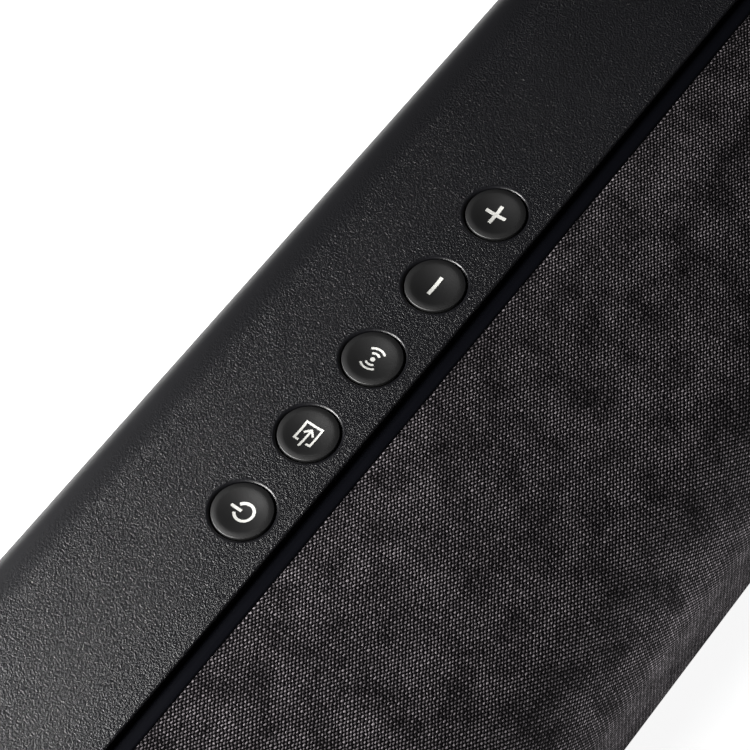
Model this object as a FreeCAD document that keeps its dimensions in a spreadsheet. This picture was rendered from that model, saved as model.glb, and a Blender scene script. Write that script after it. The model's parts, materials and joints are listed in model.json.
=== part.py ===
"""All-in-one soundbar: a parametric assembly of separate pieces, in millimetres.

The frame: origin at the centre of the footprint, +X to the listener's right, -Y the front, +Z up.
Every size is a cell of the Dims sheet; every sketch and feature is bound to those cells.
"""
import FreeCAD, Part
import math
import os
import re

import Sketcher
from FreeCAD import Placement, Rotation, Vector

DIMS = {
    # Outer body
    "body_length": 890, "body_depth": 120, "body_top": 60, "body_base": 4, "wall": 2.5,
    "cap_length": 14, "rear_round": 6, "base_round": 3, "parting": 50, "parting_gap": 0.6,
    "tongue_thick": 2, "tongue_rise": 4, "cap_round": 2, "cap_wall": 3,
    # Top panel and the row of buttons
    "panel_front": 12.2, "panel_lip": 6, "panel_edge": 0.5,
    "pitch": 23, "button_row": 23.2, "cap_radius": 6.75, "hole_radius": 7.1, "hole_round": 0.7,
    "collar_radius": 8.7, "collar_drop": 3, "rim_height": 0.35, "rim_radius": 6.2, "dish_radius": 5.6,
    "dish_depth": 0.75, "flange_radius": 7.9, "flange_top": 54.2, "flange_thick": 1, "stem_radius": 2.4,
    "stem_foot": 51.8, "mat_margin": 7,
    # Trim strip in the channel behind the cloth
    "trim_rear": 11.9, "trim_front": 8.1, "trim_top": 58.3, "trim_round": 0.4, "trim_foot": 52.5,
    # Cloth front and the frame that it is stretched over
    "cloth_start": 7.8, "cloth_top": 59.5, "cloth_thick": 0.8, "cloth_edge": 0.7, "cloth_tuck": 3,
    "crown_corner": 5, "tuck_slope": 2, "crown_slope": 11.5, "crown_radius": 130,
    "shoulder_radius": 25, "chin_radius": 5, "cloth_end": 52, "grille_frame_thick": 2,
    "window_length": 24, "window_width": 9, "window_pitch": 28, "window_count": 30,
    # Baffle board
    "baffle_front": 46, "baffle_thick": 3, "baffle_shoulder": 44, "baffle_bend": 41, "baffle_bend_height": 47,
    "baffle_rear": 14.2, "baffle_foot": 37, "baffle_foot_thick": 2.5,
    # Woofers, which fire down
    "woofer_x": 285, "woofer_y": 7, "woofer_hole": 34, "woofer_flange": 41, "boss_rise": 4,
    "gasket": 1, "basket_mouth": 33, "basket_depth": 22, "basket_back": 24, "plate": 2,
    "magnet_radius": 25, "magnet_height": 10, "pole_hole": 3, "roll_outer": 33.1, "roll_inner": 26.9,
    "roll_height": 3.1, "skin": 0.6, "landing": 35.8, "cone_edge": 28, "cone_throat": 10,
    "cone_depth": 11, "dust_cap": 3, "coil_end": 20, "grille_radius": 37, "grille_thick": 0.8,
    "grille_hole": 1.6, "grille_step": 5.2, "spoke_count": 6, "spoke_width": 6,
    # Mid drivers and tweeters, which fire forward
    "mid_x": 175, "driver_height": 26, "mid_flange_length": 100, "mid_flange_height": 36,
    "mid_mouth_length": 86, "mid_mouth_height": 30, "mid_flange_thick": 1.5, "thin_gasket": 0.5,
    "mid_depth": 22, "mid_back_length": 36, "mid_back_height": 22, "mid_magnet": 15, "mid_magnet_height": 10,
    "mid_cone_length": 79, "mid_cone_height": 23, "mid_cone_depth": 10, "mid_throat_length": 26,
    "mid_throat_height": 18, "mid_dome": 8.5, "mid_coil": 8, "mid_coil_end": 17,
    "tweeter_x": 385, "tweeter_radius": 17, "tweeter_mouth": 11.2, "tweeter_body": 13.5, "tweeter_depth": 14,
    "dome_radius": 10.6, "dome_height": 5,
    # Bass ports in the end caps
    "port_y": 20, "port_z": 31, "port_radius": 15, "port_wall": 2, "port_length": 97, "port_flange": 20,
    # Rear bay and its connectors
    "bay_length": 204, "bay_base": 12, "bay_top": 44, "bay_depth": 24, "bay_wall": 2,
    "kerb_top": 8, "tongue_root": 1.9, "window_corner": 2, "socket_gap": 0.2, "socket_length": 14,
    "board_base": 14, "board_thick": 1.6, "socket_face": 37.4, "socket_wall": 0.7,
    "hdmi_width": 15, "hdmi_height": 6, "hdmi_x": 80, "hdmi_step": 24, "hdmi_length": 12, "tongue": 0.9,
    "optical_x": 30, "optical_size": 10, "optical_port": 5.4, "usb_x": 6,
    "usb_width": 13.2, "usb_height": 5.8,
    "aux_x": 18, "aux_size": 9, "aux_bore": 1.8, "aux_length": 12, "aux_collar": 3.6,
    "inlet_x": 76, "inlet_width": 24, "inlet_height": 14, "inlet_base": 20, "inlet_length": 26,
    "inlet_mouth_width": 17.2, "inlet_mouth_height": 8.6, "inlet_mouth_depth": 16,
    "pin_radius": 1.2, "pin_spread": 4.4, "pin_length": 12,
    # Boards and what stands on them
    "main_length": 190, "main_front": 30, "main_rear": 33.6, "standoff_radius": 3, "board_edge": 5,
    "power_x": 176, "power_length": 124, "power_front": 8, "power_rear": 38,
    "transformer_length": 32, "transformer_depth": 28, "transformer_height": 24,
    "capacitor_radius": 8, "capacitor_height": 26, "sink_length": 44, "sink_depth": 26, "sink_height": 16,
    "fin_thick": 1.5, "fin_pitch": 4.25, "key_length": 124, "key_front": 15, "key_rear": 35,
    "key_base": 46.4, "key_board_top": 48, "dome_base_radius": 4.5, "pad_thick": 0.8, "key_post": 2.2,
    "led_length": 50, "led_base": 12, "led_top": 28, "led_gap": 2, "led_pitch": 7,
    "lamp_half": 1.6, "lamp_base": 23, "lamp_top": 25, "lamp_thick": 1, "pipe_margin": 3, "pipe_base": 22,
    "pipe_top": 26, "pipe_thick": 4, "eye_x": 14, "eye_z": 16.5, "eye_half": 3, "eye_body": 3,
    "eye_radius": 2.2, "eye_dome": 1.5, "eye_round": 1.2,
    # Fastenings, feet and wall plates
    "post_row": 48, "post_radius": 4, "post_foot": 12.5, "boss_radius": 6.2, "well_radius": 3.6,
    "well_top": 9.5, "drive_length": 3.2, "drive_width": 0.7, "drive_depth": 0.7,
    "shank_radius": 1.5, "shank_hole": 1.7, "head_radius": 3, "head_thick": 1.8, "shank_length": 14,
    "front_row": 40, "foot_radius": 7, "foot_sink": 1, "foot_rear": 48, "foot_front": 43,
    "keyhole_x": 300, "keyhole_z": 26, "keyhole_radius": 4.5, "keyhole_slot": 2.25, "keyhole_rise": 10,
    "keyplate_width": 26, "keyplate_base": 17, "keyplate_top": 43.5, "keyplate_thick": 1.5,
}

POSTS = (-420, -335, -215, -125, 125, 215, 335, 420)
FRONT_SCREWS = (-425, -345, -235, -100, 0, 100, 235, 345, 425)
FEET = (-400, -140, 140, 400)
CROWN_WINDOWS = (-6, -20, -34)
FACE_WINDOWS = (13, 27)
BUTTONS = ("power_button", "source_button", "wireless_button", "volume_down_button", "volume_up_button")

doc = FreeCAD.newDocument("Soundbar")
sheet = doc.addObject("Spreadsheet::Sheet", "Dims")
for row, (alias, value) in enumerate(DIMS.items(), start=1):
    sheet.set(f"A{row}", alias)
    sheet.set(f"B{row}", str(value))
    sheet.setAlias(f"B{row}", alias)
doc.recompute()

ORIGIN = (-1, 1)
kept = []


# ---------------------------------------------------------------- helpers

def bound(text):
    """An expression with each alias in it written as Dims.alias."""
    def cell(word):
        return "Dims." + word[0] if word[0] in DIMS else word[0]
    return re.sub(r"[a-z]+(?:_[a-z]+)*", cell, str(text))


def number(text):
    """The present value of an expression."""
    return float(doc.getObject("Dims").evalExpression(bound(text).replace("Dims.", "")))


def new_body(name):
    """An empty body whose label names its file."""
    body = doc.addObject("PartDesign::Body", name)
    body.Label = name
    kept.append(body)
    return body


def new_sketch(body, role="XY_Plane", offset="0"):
    """A sketch on one of the body's own planes, lifted along the plane's normal by offset."""
    sketch = body.newObject("Sketcher::SketchObject", body.Name + "_sketch")
    plane = [item for item in body.Origin.OriginFeatures if item.Role == role][0]
    sketch.AttachmentSupport = [(plane, "")]
    sketch.MapMode = "FlatFace"
    sketch.setExpression("AttachmentOffset.Base.z", bound(offset))
    return sketch


def bind(sketch, kind, where, text):
    """A dimension constraint whose value follows an expression."""
    index = sketch.addConstraint(Sketcher.Constraint(kind, *where, number(text)))
    sketch.setExpression(f"Constraints[{index}]", bound(text))


def pin_point(sketch, geometry, vertex, u, v):
    """Hold a vertex at (u, v) from the sketch's origin."""
    bind(sketch, "DistanceX", (*ORIGIN, geometry, vertex), u)
    bind(sketch, "DistanceY", (*ORIGIN, geometry, vertex), v)


def outline(sketch, corners):
    """Closed outline through corners (u, v) or (u, v, radius); a corner with a radius is rounded."""
    count = len(corners)
    points = [Vector(number(corner[0]), number(corner[1]), 0) for corner in corners]
    radii = [number(corner[2]) if len(corner) > 2 else 0 for corner in corners]
    enters, leaves = [], []
    for i, point in enumerate(points):
        before = (points[i - 1] - point).normalize()
        after = (points[(i + 1) % count] - point).normalize()
        reach = radii[i] / math.tan(before.getAngle(after) / 2)
        enters.append(point + before * reach)
        leaves.append(point + after * reach)
    sides = [
        sketch.addGeometry(Part.LineSegment(leaves[i], enters[(i + 1) % count]))
        for i in range(count)
    ]
    for i, corner in enumerate(corners):
        if not radii[i]:
            sketch.addConstraint(Sketcher.Constraint("Coincident", sides[i - 1], 2, sides[i], 1))
            pin_point(sketch, sides[i], 1, corner[0], corner[1])
            continue
        middle = (enters[i] + leaves[i]) / 2
        toward = (middle - points[i]).normalize()
        centre = points[i] + toward * math.hypot(radii[i], (enters[i] - points[i]).Length)
        bulge = centre - toward * radii[i]
        arc = sketch.addGeometry(Part.Arc(enters[i], bulge, leaves[i]))
        starts_first = sketch.getPoint(arc, 1).distanceToPoint(enters[i]) < 1e-6
        first, last = (1, 2) if starts_first else (2, 1)
        sketch.addConstraint(Sketcher.Constraint("Tangent", sides[i - 1], 2, arc, first))
        sketch.addConstraint(Sketcher.Constraint("Tangent", sides[i], 1, arc, last))
        bind(sketch, "Radius", (arc,), corner[2])
        mark = sketch.addGeometry(Part.Point(points[i]), True)
        sketch.addConstraint(Sketcher.Constraint("PointOnObject", mark, 1, sides[i - 1]))
        sketch.addConstraint(Sketcher.Constraint("PointOnObject", mark, 1, sides[i]))
        pin_point(sketch, mark, 1, corner[0], corner[1])


def rectangle(sketch, low_u, low_v, high_u, high_v, radius="0"):
    """Upright rectangle from its low corner to its high corner."""
    corners = ((low_u, low_v), (high_u, low_v), (high_u, high_v), (low_u, high_v))
    outline(sketch, [(*corner, radius) for corner in corners])


def racetrack(sketch, length, height):
    """Centred racetrack: a rectangle whose ends are all but half circles."""
    rectangle(sketch, f"-({length}) / 2", f"-({height}) / 2", f"({length}) / 2", f"({height}) / 2",
              f"({height}) * 0.499")


def circle(sketch, u, v, radius):
    """Circle with its centre held at (u, v)."""
    place = Vector(number(u), number(v), 0)
    ring = sketch.addGeometry(Part.Circle(place, Vector(0, 0, 1), number(radius)))
    pin_point(sketch, ring, 3, u, v)
    bind(sketch, "Radius", (ring,), radius)


def pad(body, sketch, length, symmetric=False, reverse=False):
    """Raise the sketch by a length."""
    feature = body.newObject("PartDesign::Pad", body.Name + "_pad")
    feature.Profile = sketch
    feature.setExpression("Length", bound(length))
    feature.SideType = "Symmetric" if symmetric else "One side"
    feature.Reversed = reverse
    doc.recompute()
    return feature


def pocket(body, sketch, length, symmetric=False, reverse=False):
    """Cut the sketch in by a length, and make sure that it removed material."""
    before = body.Shape.Volume
    feature = body.newObject("PartDesign::Pocket", body.Name + "_pocket")
    feature.Profile = sketch
    feature.setExpression("Length", bound(length))
    feature.SideType = "Symmetric" if symmetric else "One side"
    feature.Reversed = reverse
    doc.recompute()
    if body.Shape.Volume > before - 1e-3:
        raise RuntimeError(f"{feature.Label} in {body.Label} cuts nothing")
    return feature


def turn(body, corners):
    """Revolve an outline of (radius, height) corners about the body's Z axis."""
    sketch = new_sketch(body, "XZ_Plane")
    outline(sketch, corners)
    feature = body.newObject("PartDesign::Revolution", body.Name + "_turn")
    feature.Profile = sketch
    axis = [item for item in body.Origin.OriginFeatures if item.Role == "Z_Axis"][0]
    feature.ReferenceAxis = (axis, [""])
    doc.recompute()
    return feature


def loft(body, kind, sections):
    """Additive or subtractive loft between racetracks given as (length, height, offset)."""
    sketches = []
    for length, height, offset in sections:
        sketch = new_sketch(body, "XY_Plane", offset)
        racetrack(sketch, length, height)
        sketches.append(sketch)
    doc.recompute()
    feature = body.newObject(kind, body.Name + "_loft")
    feature.Profile = sketches[0]
    feature.Sections = sketches[1:]
    feature.Ruled = True
    doc.recompute()
    return feature


def polar(body, feature, count):
    """Repeat a feature about the body's Z axis."""
    pattern = body.newObject("PartDesign::PolarPattern", body.Name + "_ring")
    pattern.Originals = [feature]
    axis = [item for item in body.Origin.OriginFeatures if item.Role == "Z_Axis"][0]
    pattern.Axis = (axis, [""])
    pattern.setExpression("Occurrences", bound(count))
    body.Tip = pattern
    doc.recompute()


def row_of(body, feature, pitch, count):
    """Repeat a feature along +X."""
    pattern = body.newObject("PartDesign::LinearPattern", body.Name + "_row")
    pattern.Originals = [feature]
    axis = [item for item in body.Origin.OriginFeatures if item.Role == "X_Axis"][0]
    pattern.Direction = (axis, [""])
    pattern.setExpression("Length", bound(f"({pitch}) * ({count} - 1)"))
    pattern.setExpression("Occurrences", bound(count))
    body.Tip = pattern
    doc.recompute()


def place(body, x="0", y="0", z="0", rotation=None):
    """Put a body where the expressions say, turned about its own origin."""
    body.Placement = Placement(Vector(number(x), number(y), number(z)), rotation or Rotation())
    for letter, text in zip("xyz", (x, y, z)):
        body.setExpression(f"Placement.Base.{letter}", bound(text))
    doc.recompute()


def round_edges(body, radius, chosen):
    """Round the edges that the test picks."""
    tip = body.Tip
    names = [f"Edge{i}" for i, edge in enumerate(tip.Shape.Edges, start=1) if chosen(edge)]
    if not names:
        raise RuntimeError(f"no edges to round in {body.Label}")
    feature = body.newObject("PartDesign::Fillet", body.Name + "_round")
    feature.Base = (tip, names)
    feature.setExpression("Radius", bound(radius))
    doc.recompute()


def flat_at(axis, height):
    """A test for edges that lie wholly at one height along an axis."""
    def test(edge):
        low = getattr(edge.BoundBox, axis + "Min")
        high = getattr(edge.BoundBox, axis + "Max")
        return abs(low - height) < 1e-4 and abs(high - height) < 1e-4
    return test


DOWN = Rotation(Vector(1, 0, 0), 180)
FORWARD = Rotation(Vector(1, 0, 0), 90)
SIDES = (("left", "-1"), ("right", "1"))


# ---------------------------------------------------------------- the curved front

def front_line(inset):
    """Corners of the cloth line set in by a distance, from the crown's bend down and under the chin.

    The line falls at tuck_slope, bends to crown_slope, turns down at the shoulder and under at the chin.
    """
    bend = f"(cloth_top - (cloth_start + crown_corner) * tan(tuck_slope))"
    half = "cos((crown_slope - tuck_slope) / 2)"
    bend_y = f"-crown_corner + ({inset}) * sin((tuck_slope + crown_slope) / 2) / {half}"
    bend_z = f"{bend} - ({inset}) * cos((tuck_slope + crown_slope) / 2) / cos((crown_slope - tuck_slope) / 2)"
    shoulder = f"({bend} - (body_depth / 2 - crown_corner) * tan(crown_slope))"
    shoulder_z = f"{shoulder} - ({inset}) * cos((crown_slope + 90) / 2) / cos((90 - crown_slope) / 2)"
    return [
        (bend_y, bend_z, f"crown_radius - ({inset})"),
        (f"-body_depth / 2 + ({inset})", shoulder_z, f"shoulder_radius - ({inset})"),
        (f"-body_depth / 2 + ({inset})", f"body_base + ({inset})", f"chin_radius - ({inset})"),
    ]


def tuck_height(y, inset):
    """Height of the inset cloth line at a depth y near the channel."""
    return f"cloth_top - (cloth_start - ({y})) * tan(tuck_slope) - ({inset}) / cos(tuck_slope)"


def make_cloth():
    """Stretched cloth: over the front, with a flap down the channel and a hem under the chin."""
    body = new_body("grille_fabric")
    sketch = new_sketch(body, "YZ_Plane")
    inner_y = "cloth_start - cloth_thick"
    outline(sketch, [
        ("cloth_start", "cloth_top - cloth_tuck"),
        ("cloth_start", "cloth_top", "cloth_edge"),
        *front_line("0"),
        ("-cloth_end", "body_base"),
        ("-cloth_end", "body_base + cloth_thick"),
        *reversed(front_line("cloth_thick")),
        (inner_y, tuck_height(inner_y, "cloth_thick")),
        (inner_y, "cloth_top - cloth_tuck"),
    ])
    pad(body, sketch, "body_length - 2 * cap_length", symmetric=True)


def make_grille_frame():
    """Moulded frame under the cloth, with rows of windows that let the sound through."""
    body = new_body("grille_frame")
    sketch = new_sketch(body, "YZ_Plane")
    edge_y = "cloth_start - cloth_thick"
    inner = "cloth_thick + grille_frame_thick"
    outline(sketch, [
        (edge_y, tuck_height(edge_y, "cloth_thick")),
        *front_line("cloth_thick"),
        ("-cloth_end", "body_base + cloth_thick"),
        ("-cloth_end", f"body_base + {inner}"),
        *reversed(front_line(inner)),
        (edge_y, tuck_height(edge_y, inner)),
    ])
    pad(body, sketch, "body_length - 2 * cap_length", symmetric=True)
    first = "-window_pitch * (window_count - 1) / 2 - window_length / 2"
    for plane, lows, offset, depth in (
        ("XY_Plane", CROWN_WINDOWS, "body_top", "body_top - baffle_bend_height + 4"),
        ("XZ_Plane", FACE_WINDOWS, "body_depth / 2", "body_depth / 2 - baffle_front - 3"),
    ):
        window = new_sketch(body, plane, offset)
        for low in lows:
            rectangle(window, first, low, f"{first} + window_length", f"{low} + window_width", "2")
        cut = pocket(body, window, depth)
        row_of(body, cut, "window_pitch", "window_count")


def make_baffle():
    """Board behind the frame that carries the forward drivers and closes the air box."""
    body = new_body("front_baffle")
    sketch = new_sketch(body, "YZ_Plane")
    floor = "body_base + wall"
    outline(sketch, [
        ("-baffle_front", floor),
        ("-baffle_front", "baffle_shoulder", "3"),
        ("-baffle_bend", "baffle_bend_height", "4"),
        ("cloth_start - cloth_thick", "trim_foot"),
        ("baffle_rear", "trim_foot"),
        ("baffle_rear", "trim_foot - wall"),
        ("cloth_start - cloth_thick", "trim_foot - wall - 0.2"),
        ("-baffle_bend + 1", "baffle_bend_height - baffle_thick", "2"),
        ("-baffle_front + baffle_thick", "baffle_shoulder - 1.5", "1"),
        ("-baffle_front + baffle_thick", f"{floor} + baffle_foot_thick"),
        ("-baffle_foot", f"{floor} + baffle_foot_thick"),
        ("-baffle_foot", floor),
    ])
    pad(body, sketch, "body_length - 2 * cap_length", symmetric=True)
    mouths = new_sketch(body, "XZ_Plane", "baffle_front")
    for _, sign in SIDES:
        centre = f"{sign} * mid_x"
        length, height = "(mid_mouth_length + 2) / 2", "(mid_mouth_height + 2) / 2"
        rectangle(mouths, f"{centre} - {length}", f"driver_height - {height}",
                  f"{centre} + {length}", f"driver_height + {height}", f"{height} * 0.998")
        circle(mouths, f"{sign} * tweeter_x", "driver_height", "tweeter_body + 0.3")
    pocket(body, mouths, "baffle_thick")
    screws = new_sketch(body, "XY_Plane", floor)
    for x in FRONT_SCREWS:
        circle(screws, x, "-front_row", "shank_radius")
    pocket(body, screws, "baffle_foot_thick", reverse=True)


# ---------------------------------------------------------------- shells

def make_lower_housing():
    """Tray with a low rear kerb, woofer seats, screw bosses and board standoffs."""
    body = new_body("lower_housing")
    section = new_sketch(body, "YZ_Plane")
    rear, floor = "body_depth / 2", "body_base + wall"
    outline(section, [
        ("-cloth_end", "body_base"),
        (rear, "body_base", "base_round"),
        (rear, "kerb_top"),
        (f"{rear} - wall", "kerb_top"),
        (f"{rear} - wall", floor),
        ("-cloth_end", floor),
    ])
    pad(body, section, "body_length - 2 * cap_length", symmetric=True)

    seats = new_sketch(body, "XY_Plane", floor)
    for _, sign in SIDES:
        circle(seats, f"{sign} * woofer_x", "woofer_y", "woofer_flange")
    for x in POSTS:
        circle(seats, x, "post_row", "boss_radius")
    pad(body, seats, "boss_rise")
    bosses = new_sketch(body, "XY_Plane", floor)
    for x in POSTS:
        circle(bosses, x, "post_row", "boss_radius")
    pad(body, bosses, f"post_foot - ({floor})")
    standoffs = new_sketch(body, "XY_Plane", floor)
    for x, y in board_corners():
        circle(standoffs, x, y, "standoff_radius")
    pad(body, standoffs, f"board_base - ({floor})")

    throats = new_sketch(body, "XY_Plane", "body_base")
    for _, sign in SIDES:
        circle(throats, f"{sign} * woofer_x", "woofer_y", "woofer_hole")
    for x in POSTS:
        circle(throats, x, "post_row", "shank_hole")
    for x in FRONT_SCREWS:
        circle(throats, x, "-front_row", "shank_hole")
    pocket(body, throats, "post_foot - body_base", reverse=True)
    wells = new_sketch(body, "XY_Plane", "body_base")
    for x in POSTS:
        circle(wells, x, "post_row", "well_radius")
    pocket(body, wells, "well_top - body_base", reverse=True)
    recesses = new_sketch(body, "XY_Plane", "body_base")
    for _, sign in SIDES:
        circle(recesses, f"{sign} * woofer_x", "woofer_y", "grille_radius + 0.3")
    for x in FEET:
        circle(recesses, x, "foot_rear", "foot_radius + 0.2")
        circle(recesses, x, "-foot_front", "foot_radius + 0.2")
    pocket(body, recesses, "foot_sink", reverse=True)
    heads = new_sketch(body, "XY_Plane", "body_base")
    for x in FRONT_SCREWS:
        circle(heads, x, "-front_row", "head_radius + 0.3")
    pocket(body, heads, "wall - 1", reverse=True)


def make_rear_wall():
    """Upright wall on the tray's kerb, with a tongue for the cover and windows for the bay and keyholes."""
    body = new_body("rear_wall")
    section = new_sketch(body, "YZ_Plane")
    rear = "body_depth / 2"
    outline(section, [
        (rear, "kerb_top"),
        (rear, "parting"),
        (f"{rear} - wall - 0.2", "parting"),
        (f"{rear} - wall - 0.2", "parting + tongue_rise"),
        (f"{rear} - wall - 0.2 - tongue_thick", "parting + tongue_rise"),
        (f"{rear} - wall - 0.2 - tongue_thick", "parting - tongue_root"),
        (f"{rear} - wall", "parting - tongue_root - tongue_thick"),
        (f"{rear} - wall", "kerb_top"),
    ])
    pad(body, section, "body_length - 2 * cap_length", symmetric=True)
    hollow = new_sketch(body, "XZ_Plane", f"-({rear})")
    rectangle(hollow, "-bay_length / 2", "bay_base", "bay_length / 2", "bay_top", "window_corner")
    pocket(body, hollow, "wall", reverse=True)
    windows = new_sketch(body, "XZ_Plane", f"-({rear})")
    for _, sign in SIDES:
        centre = f"{sign} * keyhole_x"
        rectangle(windows, f"{centre} - keyhole_radius - 2", "keyhole_z - keyhole_radius - 2",
                  f"{centre} + keyhole_radius + 2", "keyhole_z + keyhole_rise + 4", "3")
    pocket(body, windows, "wall", reverse=True)


def make_connector_bay():
    """Four-sided sleeve behind the rear wall's window, open at both ends."""
    body = new_body("connector_bay")
    inner = "-(body_depth / 2 - wall)"
    half = "bay_length / 2"
    sleeve = new_sketch(body, "XZ_Plane", inner)
    rectangle(sleeve, f"-{half} - bay_wall", "bay_base - bay_wall",
              f"{half} + bay_wall", "bay_top + bay_wall", "window_corner + 1")
    pad(body, sleeve, "bay_depth - wall")
    hollow = new_sketch(body, "XZ_Plane", inner)
    rectangle(hollow, f"-{half}", "bay_base", half, "bay_top", "window_corner")
    pocket(body, hollow, "bay_depth - wall", reverse=True)


def board_corners():
    """Places of the standoffs under the main board and the power board."""
    main_x = "(main_length / 2 - board_edge)"
    power_low = "(power_x - power_length / 2 + board_edge)"
    power_high = "(power_x + power_length / 2 - board_edge)"
    corners = [(f"{side} * {main_x}", y) for side in ("-1", "1")
               for y in ("-main_front + board_edge", "main_rear - 2 * board_edge")]
    corners += [(x, y) for x in (power_low, power_high)
                for y in ("-power_front + board_edge", "power_rear - board_edge")]
    return corners


def make_top_panel():
    """Top cover: rolled over the rear edge, with five rounded button holes and their collars."""
    body = new_body("top_panel")
    section = new_sketch(body, "YZ_Plane")
    rear, under = "body_depth / 2", "body_top - wall"
    outline(section, [
        ("panel_front", "body_top - panel_lip"),
        ("panel_front", "body_top", "panel_edge"),
        (rear, "body_top", "rear_round"),
        (rear, "parting + parting_gap"),
        (f"{rear} - wall", "parting + parting_gap"),
        (f"{rear} - wall", under, "rear_round - wall"),
        ("panel_front + 2", under),
        ("panel_front + 2", "body_top - panel_lip"),
    ])
    pad(body, section, "body_length - 2 * cap_length", symmetric=True)
    collars = new_sketch(body, "XY_Plane", under)
    for i in range(len(BUTTONS)):
        circle(collars, f"({i} - 2) * pitch", "button_row", "collar_radius")
    pad(body, collars, "collar_drop", reverse=True)
    key_posts = new_sketch(body, "XY_Plane", under)
    for x, y in key_board_posts():
        circle(key_posts, x, y, "key_post")
    pad(body, key_posts, f"{under} - key_board_top", reverse=True)
    holes = new_sketch(body, "XY_Plane", "body_top")
    for i in range(len(BUTTONS)):
        circle(holes, f"({i} - 2) * pitch", "button_row", "hole_radius")
    pocket(body, holes, "wall + collar_drop")
    round_edges(body, "hole_round", lambda edge: flat_at("Z", number("body_top"))(edge)
                and isinstance(edge.Curve, Part.Circle))


def make_pillars():
    """Steel pillars between the tray's bosses and the cover, bored for the closing screws."""
    body = new_body("screw_pillars")
    posts = new_sketch(body, "XY_Plane", "post_foot")
    for x in POSTS:
        circle(posts, x, "post_row", "post_radius")
    pad(body, posts, "body_top - wall - post_foot")
    pilots = new_sketch(body, "XY_Plane", "post_foot")
    for x in POSTS:
        circle(pilots, x, "post_row", "shank_radius")
    pocket(body, pilots, "shank_length", reverse=True)


def key_board_posts():
    """Places of the posts that hold the key board under the panel."""
    x = "(key_length / 2 - 3)"
    return [(f"{side} * {x}", y) for side in ("-1", "1") for y in ("key_front + 3", "key_rear - 3")]


def make_trim():
    """Smooth strip that fills the channel between the panel and the cloth."""
    body = new_body("groove_trim")
    sketch = new_sketch(body, "YZ_Plane")
    outline(sketch, [
        ("trim_front", "trim_foot"),
        ("trim_front", "trim_top", "trim_round"),
        ("trim_rear", "trim_top", "trim_round"),
        ("trim_rear", "trim_foot"),
    ])
    pad(body, sketch, "body_length - 2 * cap_length", symmetric=True)


def cap_corners(inset):
    """Outline of an end cap, set in by a distance."""
    rear = f"body_depth / 2 - ({inset})"
    return [
        (rear, f"body_base + ({inset})", f"base_round - ({inset}) * 0.9"),
        (rear, f"body_top - ({inset})", f"rear_round - ({inset})"),
        ("panel_front", f"body_top - ({inset})"),
        *front_line(inset),
    ]


def make_end_cap(side, sign):
    """Closed end of the body: a shallow cup with a rounded rim and the mouth of the bass port."""
    body = new_body(f"end_cap_{side}")
    shell = new_sketch(body, "YZ_Plane", f"{sign} * (body_length / 2 - cap_length)")
    outline(shell, cap_corners("0"))
    pad(body, shell, "cap_length", reverse=sign == "-1")
    end = int(sign) * number("body_length") / 2
    round_edges(body, "cap_round", flat_at("X", end))
    inside = new_sketch(body, "YZ_Plane", f"{sign} * (body_length / 2 - cap_length)")
    outline(inside, cap_corners("wall"))
    pocket(body, inside, "cap_length - cap_wall", reverse=sign == "1")
    mouth = new_sketch(body, "YZ_Plane", f"{sign} * body_length / 2")
    circle(mouth, "port_y", "port_z", "port_radius")
    pocket(body, mouth, "cap_wall", reverse=sign == "-1")
    round_edges(body, "cap_wall - 0.6", lambda edge: flat_at("X", end)(edge)
                and isinstance(edge.Curve, Part.Circle) and edge.Curve.Radius > 10)


def make_port_tube(side, sign):
    """Bass port: a straight tube with a flange at the cap and a flared inner end."""
    body = new_body(f"port_tube_{side}")
    turn(body, [
        ("port_radius", "0"),
        ("port_flange", "0"),
        ("port_flange", "-2"),
        ("port_radius + port_wall", "-2"),
        ("port_radius + port_wall", "-port_length + 6", "6"),
        ("port_radius + port_wall + 2", "-port_length"),
        ("port_radius + 2", "-port_length"),
        ("port_radius", "-port_length + 6", "6"),
    ])
    place(body, f"{sign} * (body_length / 2 - cap_wall)", "port_y", "port_z",
          Rotation(Vector(0, 1, 0), 90 * int(sign)))


def make_feet():
    """Rubber feet, each sunk a little into the tray."""
    body = new_body("rubber_feet")
    sketch = new_sketch(body, "XY_Plane", "0")
    for x in FEET:
        circle(sketch, x, "foot_rear", "foot_radius")
        circle(sketch, x, "-foot_front", "foot_radius")
    pad(body, sketch, "body_base + foot_sink")
    round_edges(body, "0.8", flat_at("Z", 0))


def make_wall_plates():
    """Two steel plates behind the rear wall, each with a keyhole for a wall screw."""
    body = new_body("keyhole_plates")
    inner = "-(body_depth / 2 - wall)"
    blank = new_sketch(body, "XZ_Plane", inner)
    for _, sign in SIDES:
        centre = f"{sign} * keyhole_x"
        rectangle(blank, f"{centre} - keyplate_width / 2", "keyplate_base",
                  f"{centre} + keyplate_width / 2", "keyplate_top", "3")
    pad(body, blank, "keyplate_thick")
    slots = new_sketch(body, "XZ_Plane", inner)
    for _, sign in SIDES:
        centre = f"{sign} * keyhole_x"
        rectangle(slots, f"{centre} - keyhole_slot", "keyhole_z", f"{centre} + keyhole_slot",
                  "keyhole_z + keyhole_rise + keyhole_slot", "keyhole_slot * 0.998")
    pocket(body, slots, "keyplate_thick", reverse=True)
    entries = new_sketch(body, "XZ_Plane", inner)
    for _, sign in SIDES:
        circle(entries, f"{sign} * keyhole_x", "keyhole_z", "keyhole_radius")
    pocket(body, entries, "keyplate_thick", reverse=True)


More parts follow.
